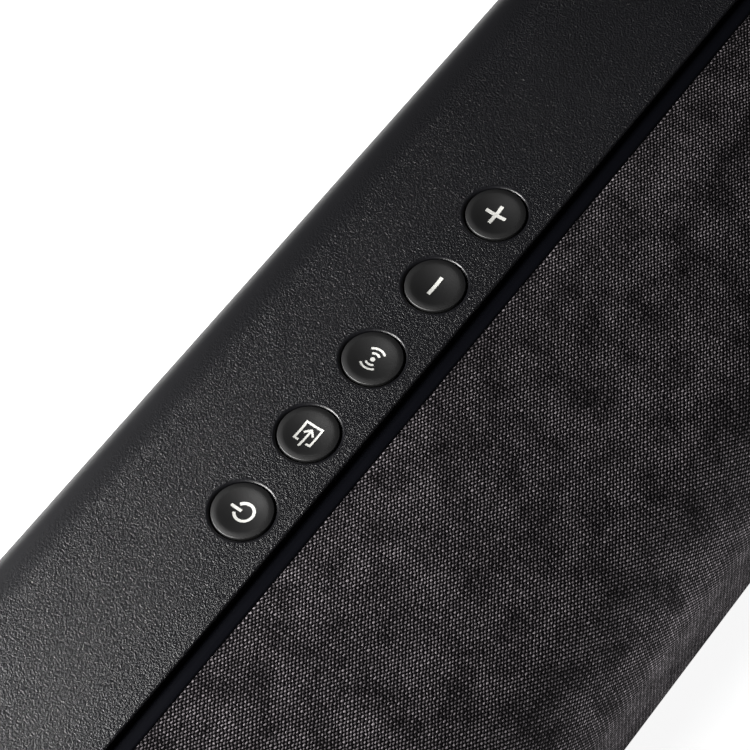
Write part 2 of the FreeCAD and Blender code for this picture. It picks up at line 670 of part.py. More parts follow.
def make_screws():
    """Screws that close the tray against the posts, and the shorter ones that hold the baffle."""
    body = new_body("housing_screws")
    rows = (
        (POSTS, "post_row", "well_top", "head_thick", "shank_length", "post_foot - well_top"),
        (FRONT_SCREWS, "-front_row", "body_base + wall - 1", "wall - 1.2", "baffle_foot_thick", "1"),
    )
    for places, row, seat, head, grip, through in rows:
        heads = new_sketch(body, "XY_Plane", seat)
        shanks = new_sketch(body, "XY_Plane", seat)
        drives = new_sketch(body, "XY_Plane", f"{seat} - ({head})")
        for x in places:
            circle(heads, x, row, "head_radius")
            circle(shanks, x, row, "shank_radius")
            rectangle(drives, f"{x} - drive_length / 2", f"{row} - drive_width / 2",
                      f"{x} + drive_length / 2", f"{row} + drive_width / 2")
        pad(body, heads, head, reverse=True)
        pad(body, shanks, f"{grip} + {through} - 0.5")
        pocket(body, drives, "drive_depth", reverse=True)


# ---------------------------------------------------------------- buttons

def make_button(index, name):
    """One key: a cap with a sloped rim and a dished top, a retaining flange and a stem."""
    body = new_body(name)
    top = "body_top + rim_height"
    turn(body, [
        ("0", "stem_foot"),
        ("stem_radius", "stem_foot"),
        ("stem_radius", "flange_top - flange_thick"),
        ("flange_radius", "flange_top - flange_thick"),
        ("flange_radius", "flange_top"),
        ("cap_radius", "flange_top"),
        ("cap_radius", "body_top - 0.25", "0.2"),
        ("rim_radius", top, "0.3"),
        ("dish_radius", f"{top} - 0.1", "0.4"),
        ("3", f"{top} - dish_depth", "4"),
        ("0", f"{top} - dish_depth"),
    ])
    place(body, f"({index} - 2) * pitch", "button_row")


def make_keypad():
    """Silicone mat with a dome under each key; a dome folds when its key goes down."""
    body = new_body("keypad_membrane")
    mat = new_sketch(body, "XY_Plane", "key_board_top")
    rectangle(mat, "-2 * pitch - mat_margin", "button_row - mat_margin",
              "2 * pitch + mat_margin", "button_row + mat_margin", "2")
    pad(body, mat, "pad_thick")
    domes = new_sketch(body, "XY_Plane", "key_board_top + pad_thick")
    for i in range(len(BUTTONS)):
        circle(domes, f"({i} - 2) * pitch", "button_row", "dome_base_radius")
    rise = pad(body, domes, "stem_foot - 0.1 - key_board_top - pad_thick")
    rise.TaperAngle = -20
    doc.recompute()


def make_key_board():
    """Narrow board under the key mat."""
    body = new_body("key_board")
    sketch = new_sketch(body, "XY_Plane", "key_base")
    rectangle(sketch, "-key_length / 2", "key_front", "key_length / 2", "key_rear", "1")
    pad(body, sketch, "board_thick")


# ---------------------------------------------------------------- drivers

def spot_driver(body, kind, sign):
    """Put a driver piece, drawn with +Z towards the listener, on its seat."""
    if kind == "woofer":
        seat = "body_base + wall + boss_rise + gasket"
        place(body, f"{sign} * woofer_x", "woofer_y", seat, DOWN)
    else:
        place(body, f"{sign} * {kind}_x", "-baffle_front - thin_gasket", "driver_height", FORWARD)


def make_woofer(side, sign):
    """Round driver: basket with spokes, rolled surround, and a cone with dust cap and coil former."""
    basket = new_body(f"woofer_basket_{side}")
    throat = "magnet_radius - 9"
    turn(basket, [
        ("basket_mouth", "0"),
        ("woofer_flange", "0"),
        ("woofer_flange", "-plate"),
        ("basket_mouth + plate", "-plate"),
        (f"{throat} + plate", "-basket_depth"),
        (f"{throat} + plate", "-basket_back"),
        ("cone_throat + 2", "-basket_back"),
        ("cone_throat + 2", "-basket_depth"),
        (throat, "-basket_depth"),
        ("basket_mouth", "-plate"),
    ])
    gap = new_sketch(basket, "XZ_Plane", "0")
    outline(gap, [
        ("basket_mouth - 6", "-plate - 3", "1.5"),
        ("basket_mouth + 4", "-plate - 3"),
        ("basket_mouth + 4", "-basket_depth + 3"),
        (f"{throat} - 1", "-basket_depth + 3", "1.5"),
    ])
    window = pocket(basket, gap, "spoke_width * 2", symmetric=True)
    polar(basket, window, "spoke_count")
    spot_driver(basket, "woofer", sign)

    surround = new_body(f"woofer_surround_{side}")
    turn(surround, surround_section("0", "landing", "cone_edge - 1.6"))
    spot_driver(surround, "woofer", sign)

    cone = new_body(f"woofer_cone_{side}")
    turn(cone, [
        ("0", "-cone_depth + dust_cap"),
        ("cone_throat * 0.55", "-cone_depth + dust_cap", "8"),
        ("cone_throat", "-cone_depth"),
        ("cone_edge - 0.8", "-0.1"),
        ("cone_edge - 1.6", "-0.1"),
        ("cone_edge - 1.6", "-skin - 0.1"),
        ("cone_throat", "-cone_depth - skin"),
        ("cone_throat", "-coil_end"),
        ("cone_throat - skin", "-coil_end"),
        ("cone_throat - skin", "-cone_depth - skin / 2"),
        ("cone_throat * 0.55 - 0.2", "-cone_depth + dust_cap - skin", "8 - skin"),
        ("0", "-cone_depth + dust_cap - skin"),
    ])
    spot_driver(cone, "woofer", sign)


def surround_section(low, outer, inner):
    """Section of a half-roll surround with a flat landing on each side."""
    return [
        (inner, low),
        ("roll_inner + skin", low),
        ("roll_inner + skin", f"{low} + roll_height - skin", "roll_height - skin - 0.3"),
        ("roll_outer - skin", f"{low} + roll_height - skin", "roll_height - skin - 0.3"),
        ("roll_outer - skin", low),
        (outer, low),
        (outer, f"{low} + skin"),
        ("roll_outer", f"{low} + skin"),
        ("roll_outer", f"{low} + roll_height", "roll_height - skin - 0.1"),
        ("roll_inner", f"{low} + roll_height", "roll_height - skin - 0.1"),
        ("roll_inner", f"{low} + skin"),
        (inner, f"{low} + skin"),
    ]


def make_mid(side, sign):
    """Racetrack driver: basket, rolled surround, and a cone with dome and coil former."""
    basket = new_body(f"mid_basket_{side}")
    face = new_sketch(basket)
    rectangle(face, "-mid_flange_length / 2", "-mid_flange_height / 2", "mid_flange_length / 2",
              "mid_flange_height / 2", "6")
    pad(basket, face, "mid_flange_thick")
    loft(basket, "PartDesign::AdditiveLoft", [
        ("mid_mouth_length + 1", "mid_mouth_height + 1", "0"),
        ("mid_back_length", "mid_back_height", "-mid_depth"),
    ])
    loft(basket, "PartDesign::SubtractiveLoft", [
        ("mid_mouth_length - 1", "mid_mouth_height - 1", "mid_flange_thick"),
        ("mid_back_length - 2", "mid_back_height - 2", "-mid_depth + plate"),
    ])
    pole = new_sketch(basket, "XY_Plane", "-mid_depth")
    circle(pole, "0", "0", "mid_coil + 0.8")
    pocket(basket, pole, "plate", reverse=True)
    spot_driver(basket, "mid", sign)

    surround = new_body(f"mid_surround_{side}")
    seat = "mid_flange_thick"
    loft(surround, "PartDesign::AdditiveLoft", [
        ("mid_mouth_length + 4", "mid_mouth_height + 4", seat),
        ("mid_mouth_length - 1", "mid_mouth_height - 1", f"{seat} + 1.8"),
    ])
    loft(surround, "PartDesign::AdditiveLoft", [
        ("mid_mouth_length - 1", "mid_mouth_height - 1", f"{seat} + 1.8"),
        ("mid_cone_length - 1", "mid_cone_height - 1", f"{seat} + 0.6"),
    ])
    loft(surround, "PartDesign::SubtractiveLoft", [
        ("mid_mouth_length + 1", "mid_mouth_height + 1", seat),
        ("mid_mouth_length - 3", "mid_mouth_height - 3", f"{seat} + 1.3"),
    ])
    middle = new_sketch(surround, "XY_Plane", seat)
    racetrack(middle, "mid_cone_length - 1", "mid_cone_height - 1")
    pocket(surround, middle, "3", reverse=True)
    spot_driver(surround, "mid", sign)

    cone = new_body(f"mid_cone_{side}")
    edge = "mid_flange_thick + 1.25"
    loft(cone, "PartDesign::AdditiveLoft", [
        ("mid_cone_length", "mid_cone_height", edge),
        ("mid_throat_length", "mid_throat_height", "-mid_cone_depth"),
    ])
    loft(cone, "PartDesign::SubtractiveLoft", [
        ("mid_cone_length - 1.4", "mid_cone_height - 1.4", edge),
        ("mid_throat_length - 2", "mid_throat_height - 2", "-mid_cone_depth + skin"),
    ])
    turn(cone, [
        ("0", "-mid_cone_depth"),
        ("mid_dome", "-mid_cone_depth"),
        ("mid_dome", "-mid_cone_depth + 1"),
        ("mid_dome * 0.6", "-mid_cone_depth + 4.4", "5"),
        ("0", "-mid_cone_depth + 4.4"),
    ])
    turn(cone, [
        ("mid_coil - skin", "-mid_cone_depth"),
        ("mid_coil", "-mid_cone_depth"),
        ("mid_coil", "-mid_coil_end"),
        ("mid_coil - skin", "-mid_coil_end"),
    ])
    spot_driver(cone, "mid", sign)


def make_tweeter(side, sign):
    """Small dome driver: a turned body with a shallow horn, and the dome."""
    housing = new_body(f"tweeter_body_{side}")
    turn(housing, [
        ("tweeter_mouth", "-1"),
        ("tweeter_mouth + 3.5", "2", "3"),
        ("tweeter_radius", "2", "0.6"),
        ("tweeter_radius", "0"),
        ("tweeter_body", "0"),
        ("tweeter_body", "-tweeter_depth", "0.8"),
        ("0", "-tweeter_depth"),
        ("0", "-tweeter_depth + 9"),
        ("tweeter_mouth", "-tweeter_depth + 9"),
    ])
    spot_driver(housing, "tweeter", sign)
    dome = new_body(f"tweeter_dome_{side}")
    turn(dome, [
        ("0", "-3"),
        ("dome_radius - 1.6", "-3"),
        ("dome_radius", "-3"),
        ("dome_radius", "-2.4"),
        ("dome_radius - 1.6", "-2.4"),
        ("dome_radius * 0.62", "-3 + dome_height", "7"),
        ("0", "-3 + dome_height"),
    ])
    spot_driver(dome, "tweeter", sign)


def make_magnets(name, kind, radius, height, back):
    """Pair of ring magnets with their back plates, one behind each driver of a kind."""
    body = new_body(name)
    role, level = ("XY_Plane", "woofer_y") if kind == "woofer" else ("XZ_Plane", "driver_height")
    if kind == "woofer":
        seat = f"body_base + wall + boss_rise + gasket + {back}"
    else:
        seat = f"baffle_front + thin_gasket - ({back}) - ({height})"
    rings = new_sketch(body, role, seat)
    for _, sign in SIDES:
        circle(rings, f"{sign} * {kind}_x", level, radius)
    pad(body, rings, height)
    holes = new_sketch(body, role, seat)
    for _, sign in SIDES:
        circle(holes, f"{sign} * {kind}_x", level, "pole_hole")
    pocket(body, holes, height, reverse=True)


def make_woofer_grille(side, sign):
    """Pressed steel grille in the tray under a woofer, with rings of round holes."""
    body = new_body(f"woofer_grille_{side}")
    disc = new_sketch(body)
    circle(disc, "0", "0", "grille_radius")
    pad(body, disc, "grille_thick")
    centre = new_sketch(body)
    circle(centre, "0", "0", "grille_hole")
    pocket(body, centre, "grille_thick", reverse=True)
    for ring in range(1, 7):
        hole = new_sketch(body)
        circle(hole, f"grille_step * {ring}", "0", "grille_hole")
        polar(body, pocket(body, hole, "grille_thick", reverse=True), 6 * ring)
    place(body, f"{sign} * woofer_x", "woofer_y", "body_base + foot_sink - grille_thick")


def make_gaskets():
    """Foam rings under the woofer flanges and behind the forward drivers."""
    body = new_body("driver_gaskets")
    seat = "body_base + wall + boss_rise"
    for radius, cut in (("woofer_flange", False), ("woofer_hole + 2", True)):
        ring = new_sketch(body, "XY_Plane", seat)
        for _, sign in SIDES:
            circle(ring, f"{sign} * woofer_x", "woofer_y", radius)
        if cut:
            pocket(body, ring, "gasket", reverse=True)
        else:
            pad(body, ring, "gasket")
    half_length, half_height = "mid_flange_length / 2", "mid_flange_height / 2"
    for inset, corner, radius, cut in (
        ("0", "6", "tweeter_radius", False), ("5.5", "5", "tweeter_radius - 2.5", True),
    ):
        sheet_cut = new_sketch(body, "XZ_Plane", "baffle_front")
        inset_height = "1.6" if cut else "0"
        for _, sign in SIDES:
            centre = f"{sign} * mid_x"
            low = f"driver_height - {half_height} + {inset_height}"
            high = f"driver_height + {half_height} - {inset_height}"
            rectangle(sheet_cut, f"{centre} - {half_length} + {inset}", low,
                      f"{centre} + {half_length} - {inset}", high, corner)
            circle(sheet_cut, f"{sign} * tweeter_x", "driver_height", radius)
        if cut:
            pocket(body, sheet_cut, "thin_gasket", reverse=True)
        else:
            pad(body, sheet_cut, "thin_gasket")


# ---------------------------------------------------------------- electronics

def make_board(name, low_x, low_y, high_x, high_y):
    """A circuit board on the tray's standoffs."""
    body = new_body(name)
    sketch = new_sketch(body, "XY_Plane", "board_base")
    rectangle(sketch, low_x, low_y, high_x, high_y, "1")
    pad(body, sketch, "board_thick")


def make_blocks(name, base, blocks):
    """Rectangular parts that stand on a board: (x, y, length, depth, height)."""
    body = new_body(name)
    for x, y, length, depth, height in blocks:
        sketch = new_sketch(body, "XY_Plane", base)
        rectangle(sketch, f"{x} - {length} / 2", f"{y} - {depth} / 2",
                  f"{x} + {length} / 2", f"{y} + {depth} / 2", "0.5")
        pad(body, sketch, height)


def make_capacitors():
    """Two tall reservoir capacitors on the power board."""
    body = new_body("power_capacitors")
    cans = new_sketch(body, "XY_Plane", "board_base + board_thick")
    for step in (0, 1):
        circle(cans, f"power_x + 20 + {step} * 20", "power_rear - 14", "capacitor_radius")
    pad(body, cans, "capacitor_height")
    round_edges(body, "0.8", flat_at("Z", number("board_base + board_thick + capacitor_height")))


def make_heatsink():
    """Finned cooler on the amplifier."""
    body = new_body("heatsink")
    base = "board_base + board_thick + 1.4"
    foot = new_sketch(body, "XY_Plane", base)
    rectangle(foot, "-sink_length / 2", "-main_front + 8", "sink_length / 2", "-main_front + 8 + sink_depth")
    pad(body, foot, "2")
    fin = new_sketch(body, "XY_Plane", f"{base} + 2")
    rectangle(fin, "-sink_length / 2", "-main_front + 8",
              "-sink_length / 2 + fin_thick", "-main_front + 8 + sink_depth")
    first = pad(body, fin, "sink_height - 2")
    row_of(body, first, "fin_pitch", "11")


def socket_shell(body, x, base, width, height, length, mouth_width, mouth_height, tongue):
    """A socket that faces the rear: a block with a rectangular mouth and, if it has one, a tongue."""
    face = "-socket_face"
    block = new_sketch(body, "XZ_Plane", face)
    rectangle(block, f"{x} - {width} / 2", base, f"{x} + {width} / 2", f"{base} + {height}", "0.5")
    pad(body, block, length)
    mouth = new_sketch(body, "XZ_Plane", face)
    middle = f"{base} + {height} / 2"
    rectangle(mouth, f"{x} - {mouth_width} / 2", f"{middle} - {mouth_height} / 2",
              f"{x} + {mouth_width} / 2", f"{middle} + {mouth_height} / 2", "0.4")
    pocket(body, mouth, f"{length} - 2", reverse=True)
    if tongue:
        blade = new_sketch(body, "XZ_Plane", f"{face} + {length} - 2")
        rectangle(blade, f"{x} - {mouth_width} * 0.36", f"{middle} - tongue / 2",
                  f"{x} + {mouth_width} * 0.36", f"{middle} + tongue / 2")
        pad(body, blade, f"{length} - 3.5", reverse=True)


def make_sockets():
    """The sockets on the main board's rear edge."""
    base = "(board_base + board_thick)"
    hdmi = new_body("hdmi_sockets")
    for step in (0, 1):
        socket_shell(hdmi, f"(-hdmi_x + {step} * hdmi_step)", base,
                     "hdmi_width", "hdmi_height", "hdmi_length",
                     "(hdmi_width - 2 * socket_wall)", "(hdmi_height - 2 * socket_wall)", True)
    optical = new_body("optical_socket")
    socket_shell(optical, "(-optical_x)", base, "optical_size", "optical_size", "socket_length",
                 "optical_port", "optical_port", False)
    usb = new_body("usb_socket")
    socket_shell(usb, "(-usb_x)", base, "usb_width", "usb_height", "socket_length",
                 "(usb_width - 2 * socket_wall)", "(usb_height - 2 * socket_wall)", True)
    aux = new_body("aux_jack")
    turn(aux, [
        ("aux_bore", "0"), ("aux_collar", "0", "0.4"), ("aux_collar", "-2.5"), ("aux_size / 2", "-2.5"),
        ("aux_size / 2", "-aux_length - 2"), ("0", "-aux_length - 2"), ("0", "-aux_length"),
        ("aux_bore", "-aux_length"),
    ])
    place(aux, "aux_x", "socket_face + 0.6", f"{base} + aux_size / 2", Rotation(Vector(1, 0, 0), -90))


def make_inlet():
    """Mains inlet with a two-pin mouth, held in the connector plate."""
    body = new_body("mains_inlet")
    face, middle = "-socket_face", "inlet_base + inlet_height / 2"
    block = new_sketch(body, "XZ_Plane", face)
    rectangle(block, "inlet_x - inlet_width / 2", "inlet_base", "inlet_x + inlet_width / 2",
              "inlet_base + inlet_height", "1.5")
    pad(body, block, "inlet_length")
    mouth = new_sketch(body, "XZ_Plane", face)
    rectangle(mouth, "inlet_x - inlet_mouth_width / 2", f"{middle} - inlet_mouth_height / 2",
              "inlet_x + inlet_mouth_width / 2", f"{middle} + inlet_mouth_height / 2",
              "inlet_mouth_height * 0.49")
    pocket(body, mouth, "inlet_mouth_depth", reverse=True)
    pins = new_sketch(body, "XZ_Plane", f"{face} + inlet_mouth_depth")
    for _, sign in SIDES:
        circle(pins, f"inlet_x + {sign} * pin_spread", middle, "pin_radius")
    pad(body, pins, "pin_length", reverse=True)


def make_connector_plate():
    """Plate that closes the bay, with a window round each socket."""
    body = new_body("connector_plate")
    front = "-(body_depth / 2 - bay_depth)"
    half = "bay_length / 2"
    blank = new_sketch(body, "XZ_Plane", front)
    rectangle(blank, f"-{half} - bay_wall", "bay_base - bay_wall",
              f"{half} + bay_wall", "bay_top + bay_wall", "1")
    pad(body, blank, "plate")
    base = "(board_base + board_thick)"
    windows = new_sketch(body, "XZ_Plane", front)
    for x, low, width, height in (
        ("-hdmi_x", base, "hdmi_width", "hdmi_height"),
        ("(-hdmi_x + hdmi_step)", base, "hdmi_width", "hdmi_height"),
        ("(-optical_x)", base, "optical_size", "optical_size"),
        ("(-usb_x)", base, "usb_width", "usb_height"),
        ("inlet_x", "inlet_base", "inlet_width", "inlet_height"),
    ):
        rectangle(windows, f"{x} - {width} / 2 - socket_gap", f"{low} - socket_gap",
                  f"{x} + {width} / 2 + socket_gap", f"{low} + {height} + socket_gap", "0.5")
    circle(windows, "aux_x", f"{base} + aux_size / 2", "aux_size / 2 + socket_gap")
    pocket(body, windows, "plate", reverse=True)


def make_status_light():
    """Row of indicator lamps behind the cloth: board, lamps and the clear pipe in front of them."""
    board = new_body("led_board")
    front = "baffle_front + led_gap"
    blank = new_sketch(board, "XZ_Plane", front)
    rectangle(blank, "-led_length / 2", "led_base", "led_length / 2", "led_top", "1")
    pad(board, blank, "board_thick")
    for side in ("-1", "1"):
        spacer = new_sketch(board, "XZ_Plane", "baffle_front")
        circle(spacer, f"{side} * (led_length / 2 - 4)", "led_base + 4", "2")
        pad(board, spacer, "led_gap")
    lamps = new_body("status_leds")
    chips = new_sketch(lamps, "XZ_Plane", f"{front} + board_thick")
    for step in range(5):
        centre = f"({step} - 2) * led_pitch"
        rectangle(chips, f"{centre} - lamp_half", "lamp_base", f"{centre} + lamp_half", "lamp_top")
    pad(lamps, chips, "lamp_thick")
    pipe = new_body("light_pipe")
    clear = new_sketch(pipe, "XZ_Plane", f"{front} + board_thick + lamp_thick")
    rectangle(clear, "-2 * led_pitch - pipe_margin", "pipe_base",
              "2 * led_pitch + pipe_margin", "pipe_top", "0.5")
    pad(pipe, clear, "pipe_thick")
    eye = new_body("infrared_receiver")
    base = new_sketch(eye, "XZ_Plane", f"{front} + board_thick")
    rectangle(base, "eye_x - eye_half", "eye_z - eye_half", "eye_x + eye_half", "eye_z + eye_half", "0.5")
    pad(eye, base, "eye_body")
    lens = new_sketch(eye, "XZ_Plane", f"{front} + board_thick + eye_body")
    circle(lens, "eye_x", "eye_z", "eye_radius")
    pad(eye, lens, "eye_dome")
    round_edges(eye, "eye_round", lambda edge: isinstance(edge.Curve, Part.Circle)
                and abs(edge.Curve.Radius - number("eye_radius")) < 1e-6
                and edge.BoundBox.YMax < -number(f"{front} + board_thick + eye_body + 1"))


# ---------------------------------------------------------------- assembly

def build():
    """Make every piece."""
    make_lower_housing()
    make_rear_wall()
    make_connector_bay()
    make_top_panel()
    make_pillars()
    make_trim()
    make_cloth()
    make_grille_frame()
    make_baffle()
    for index, name in enumerate(BUTTONS):
        make_button(index, name)
    make_keypad()
    make_key_board()
    for side, sign in SIDES:
        make_end_cap(side, sign)
        make_port_tube(side, sign)
        make_woofer(side, sign)
        make_mid(side, sign)
        make_tweeter(side, sign)
        make_woofer_grille(side, sign)
    make_magnets("woofer_magnets", "woofer", "magnet_radius", "magnet_height", "basket_back")
    make_magnets("mid_magnets", "mid", "mid_magnet", "mid_magnet_height", "mid_depth")
    make_gaskets()
    make_feet()
    make_wall_plates()
    make_screws()
    make_board("main_board", "-main_length / 2", "-main_front", "main_length / 2", "main_rear")
    make_board("power_board", "power_x - power_length / 2", "-power_front",
               "power_x + power_length / 2", "power_rear")
    top = "board_base + board_thick"
    make_blocks("main_board_chips", top, [
        ("-62", "-8", "15", "15", "1.3"), ("-40", "-8", "10", "8", "1"), ("-66", "12", "22", "15", "2.2"),
        ("0", "-10", "12", "12", "1.4"), ("40", "-16", "11", "11", "7"), ("55", "-16", "11", "11", "7"),
        ("40", "2", "9", "9", "12"), ("55", "2", "9", "9", "12"), ("78", "-16", "12", "6", "8"),
    ])
    make_blocks("transformer", top, [
        ("power_x - 30", "power_rear - 22", "transformer_length", "transformer_depth", "transformer_height"),
    ])
    make_capacitors()
    make_heatsink()
    make_sockets()
    make_inlet()
    make_connector_plate()
    make_status_light()


def write():
    """Check every object and write one STEP file for each piece."""
    doc.recompute()
    for item in doc.Objects:
        if "Invalid" in item.State or "Error" in item.State:
            raise RuntimeError(f"{item.Label} did not recompute: {item.State}")
    os.makedirs("parts", exist_ok=True)
    for body in kept:
        if body.Shape.isNull() or not body.Shape.isValid() or not body.Shape.Solids:
            raise RuntimeError(f"{body.Label} has no valid shape")
        body.Shape.exportStep(f"parts/{body.Label}.step")


build()
write()
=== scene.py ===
"""Looks of an all-in-one soundbar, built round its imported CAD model."""
import json
import math

import bmesh
import bpy
import numpy as np
from bpy.props import FloatProperty, FloatVectorProperty, PointerProperty
from mathutils import Matrix, Vector


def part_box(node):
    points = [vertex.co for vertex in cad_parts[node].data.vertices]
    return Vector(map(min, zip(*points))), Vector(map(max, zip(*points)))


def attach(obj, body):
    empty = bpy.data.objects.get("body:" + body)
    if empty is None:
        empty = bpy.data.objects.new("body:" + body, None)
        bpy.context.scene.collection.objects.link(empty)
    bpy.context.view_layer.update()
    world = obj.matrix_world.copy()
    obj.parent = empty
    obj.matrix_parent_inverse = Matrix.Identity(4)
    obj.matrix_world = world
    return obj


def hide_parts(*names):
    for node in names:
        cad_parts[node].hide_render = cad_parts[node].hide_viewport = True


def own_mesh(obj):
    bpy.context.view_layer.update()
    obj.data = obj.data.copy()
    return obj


bl_info = {
    "name": "Soundbar",
    "version": (1, 0, 0),
    "blender": (4, 5, 0),
    "location": "3D View > Sidebar > Soundbar",
    "description": "Builds the visible surfaces and finishes of a soundbar around its CAD model",
    "category": "Add Mesh",
}

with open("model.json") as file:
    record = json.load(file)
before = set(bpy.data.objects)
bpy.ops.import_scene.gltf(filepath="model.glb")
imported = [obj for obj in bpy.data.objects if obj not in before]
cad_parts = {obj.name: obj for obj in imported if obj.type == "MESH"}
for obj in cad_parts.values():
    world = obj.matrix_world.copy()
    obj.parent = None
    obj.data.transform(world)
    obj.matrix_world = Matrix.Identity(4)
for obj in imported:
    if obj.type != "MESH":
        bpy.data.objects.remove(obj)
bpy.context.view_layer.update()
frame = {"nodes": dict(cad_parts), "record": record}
NODES = frame["nodes"]
MM = 0.001
HOUSING = "housing"
KEYS = (
    ("power_key", "power_button"),
    ("source_key", "source_button"),
    ("wireless_key", "wireless_button"),
    ("volume_down_key", "volume_down_button"),
    ("volume_up_key", "volume_up_button"),
)


def box(node):
    """Lowest and highest corner of a CAD node, as arrays."""
    low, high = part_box(node)
    return np.array(low, float), np.array(high, float)


PANEL_LOW, PANEL_HIGH = box("top_panel")
CLOTH_LOW, CLOTH_HIGH = box("grille_fabric")
TRIM_LOW, TRIM_HIGH = box("groove_trim")
KEY_CENTRES = np.array([(box(node)[0] + box(node)[1])[:2] / 2 for _, node in KEYS])
PITCH = float(KEY_CENTRES[1, 0] - KEY_CENTRES[0, 0])
ROW = float(KEY_CENTRES[0, 1])
TOP = float(PANEL_HIGH[2])
REAR = float(PANEL_HIGH[1])
HALF = float(PANEL_HIGH[0])


# ---------------------------------------------------------------- settings

class SoundbarPanelSettings(bpy.types.PropertyGroup):
    """Sizes and colour of the grained top panel."""

    wall: FloatProperty(name="Wall", description="Thickness of the panel's wall", default=2.5 * MM, unit="LENGTH")
    front_edge: FloatProperty(
        name="Front edge", description="Radius of the edge along the channel", default=0.5 * MM, unit="LENGTH")
    rear_roll: FloatProperty(
        name="Rear roll", description="Radius of the rolled rear edge", default=6 * MM, unit="LENGTH")
    hole_radius: FloatProperty(
        name="Hole radius", description="Radius of a key hole below its rounded edge", default=7.1 * MM, unit="LENGTH")
    hole_edge: FloatProperty(
        name="Hole edge", description="Radius of the rounded edge of a key hole", default=0.7 * MM, unit="LENGTH")
    collar_radius: FloatProperty(
        name="Collar radius", description="Outer radius of the guide under a hole", default=8.7 * MM, unit="LENGTH")
    collar_drop: FloatProperty(
        name="Collar drop", description="Length of the guide under a hole", default=3 * MM, unit="LENGTH")
    colour: FloatVectorProperty(
        name="Colour", description="Colour of the panel", default=(0.0042, 0.0042, 0.0056), subtype="COLOR", size=3)
    grain: FloatProperty(name="Grain", description="Size of the leather grain", default=0.47 * MM, unit="LENGTH")


class SoundbarKeySettings(bpy.types.PropertyGroup):
    """Sizes and colours of the five keys and their printed signs."""

    cap_radius: FloatProperty(name="Cap radius", description="Radius of a key", default=6.75 * MM, unit="LENGTH")
    dish_radius: FloatProperty(
        name="Dish radius", description="Radius of the hollow in a key", default=5.5 * MM, unit="LENGTH")
    dish_depth: FloatProperty(
        name="Dish depth", description="Depth of the hollow in a key", default=0.75 * MM, unit="LENGTH")
    rim_fall: FloatProperty(
        name="Rim fall", description="How far the rim slopes down to the edge", default=0.25 * MM, unit="LENGTH")
    colour: FloatVectorProperty(
        name="Colour", description="Colour of the keys", default=(0.006, 0.006, 0.0062), subtype="COLOR", size=3)
    ink: FloatVectorProperty(
        name="Ink", description="Colour of the printed signs", default=(0.66, 0.66, 0.63), subtype="COLOR", size=3)


class SoundbarClothSettings(bpy.types.PropertyGroup):
    """Sizes and colours of the stretched cloth."""

    thickness: FloatProperty(name="Thickness", description="Thickness of the cloth", default=0.6 * MM, unit="LENGTH")
    yarn_along: FloatProperty(
        name="Yarn along", description="Spacing of the yarns counted along the bar", default=0.684 * MM, unit="LENGTH")
    yarn_across: FloatProperty(
        name="Yarn across", description="Spacing of the yarns counted over the front", default=0.438 * MM,
        unit="LENGTH")
    dark: FloatVectorProperty(
        name="Dark yarn", description="Colour of the dark yarn", default=(0.0015, 0.0012, 0.0016), subtype="COLOR",
        size=3)
    light: FloatVectorProperty(
        name="Light yarn", description="Colour of the light yarn", default=(0.27, 0.245, 0.262), subtype="COLOR",
        size=3)


class SoundbarStageSettings(bpy.types.PropertyGroup):
    """Camera and floor."""

    azimuth: FloatProperty(
        name="Azimuth", description="Direction of the camera about the vertical", default=math.radians(-49.05),
        subtype="ANGLE")
    elevation: FloatProperty(
        name="Elevation", description="Height of the camera above the horizon", default=math.radians(57.66),
        subtype="ANGLE")
    roll: FloatProperty(
        name="Roll", description="Roll of the camera about its axis", default=math.radians(-5.37), subtype="ANGLE")
    distance: FloatProperty(
        name="Distance", description="Distance from the camera to the keys", default=0.672, unit="LENGTH")
    lens: FloatProperty(name="Lens", description="Focal length of the camera in millimetres", default=150.2)
    floor_size: FloatProperty(name="Floor size", description="Width of the floor", default=8.0, unit="LENGTH")


# ---------------------------------------------------------------- outlines and meshes

def rounded(corners, steps=8, closed=False):
    """Outline through corners (u, v) or (u, v, radius), as an array of points.

    A corner with a radius becomes an arc of that radius, tangent to both sides.
    """
    corners = [tuple(corner) + (0.0,) * (3 - len(corner)) for corner in corners]
    points = np.array([corner[:2] for corner in corners], float)
    line = []
    count = len(corners)
    for i, (u, v, radius) in enumerate(corners):
        ends = not closed and i in (0, count - 1)
        if radius <= 0 or ends:
            line.append(points[i:i + 1])
            continue
        before = points[i - 1] - points[i]
        after = points[(i + 1) % count] - points[i]
        before /= np.linalg.norm(before)
        after /= np.linalg.norm(after)
        half = math.acos(np.clip(before @ after, -1, 1)) / 2
        middle = before + after
        centre = points[i] + middle / np.linalg.norm(middle) * radius / math.sin(half)
        first = points[i] + before * radius / math.tan(half)
        start = first - centre
        last = points[i] + after * radius / math.tan(half) - centre
        turn = math.atan2(start[0] * last[1] - start[1] * last[0], start @ last)
        angle = np.linspace(0, turn, steps + 1)
        cos, sin = np.cos(angle), np.sin(angle)
        line.append(centre + np.stack([start[0] * cos - start[1] * sin, start[0] * sin + start[1] * cos], 1))
    return np.concatenate(line)


def refine(line, longest, closed=False):
    """The same outline with each side longer than a length divided evenly."""
    ends = np.roll(line, -1, 0) if closed else line[1:]
    starts = line if closed else line[:-1]
    counts = np.maximum(1, np.ceil(np.linalg.norm(ends - starts, axis=1) / longest)).astype(int)
    side = np.repeat(np.arange(len(starts)), counts)
    step = np.arange(counts.sum()) - np.repeat(np.cumsum(counts) - counts, counts)
    share = (step / counts[side])[:, None]
    points = starts[side] * (1 - share) + ends[side] * share
    return points if closed else np.concatenate([points, line[-1:]])


def extrude(line, xs):
    """Grid of an outline (y, z) carried along X: point(i, j) = (x_j, y_i, z_i)."""
    y, x = np.meshgrid(line[:, 0], xs, indexing="ij")
    z = np.repeat(line[:, 1:2], len(xs), 1)
    return np.stack([x, y, z], -1)


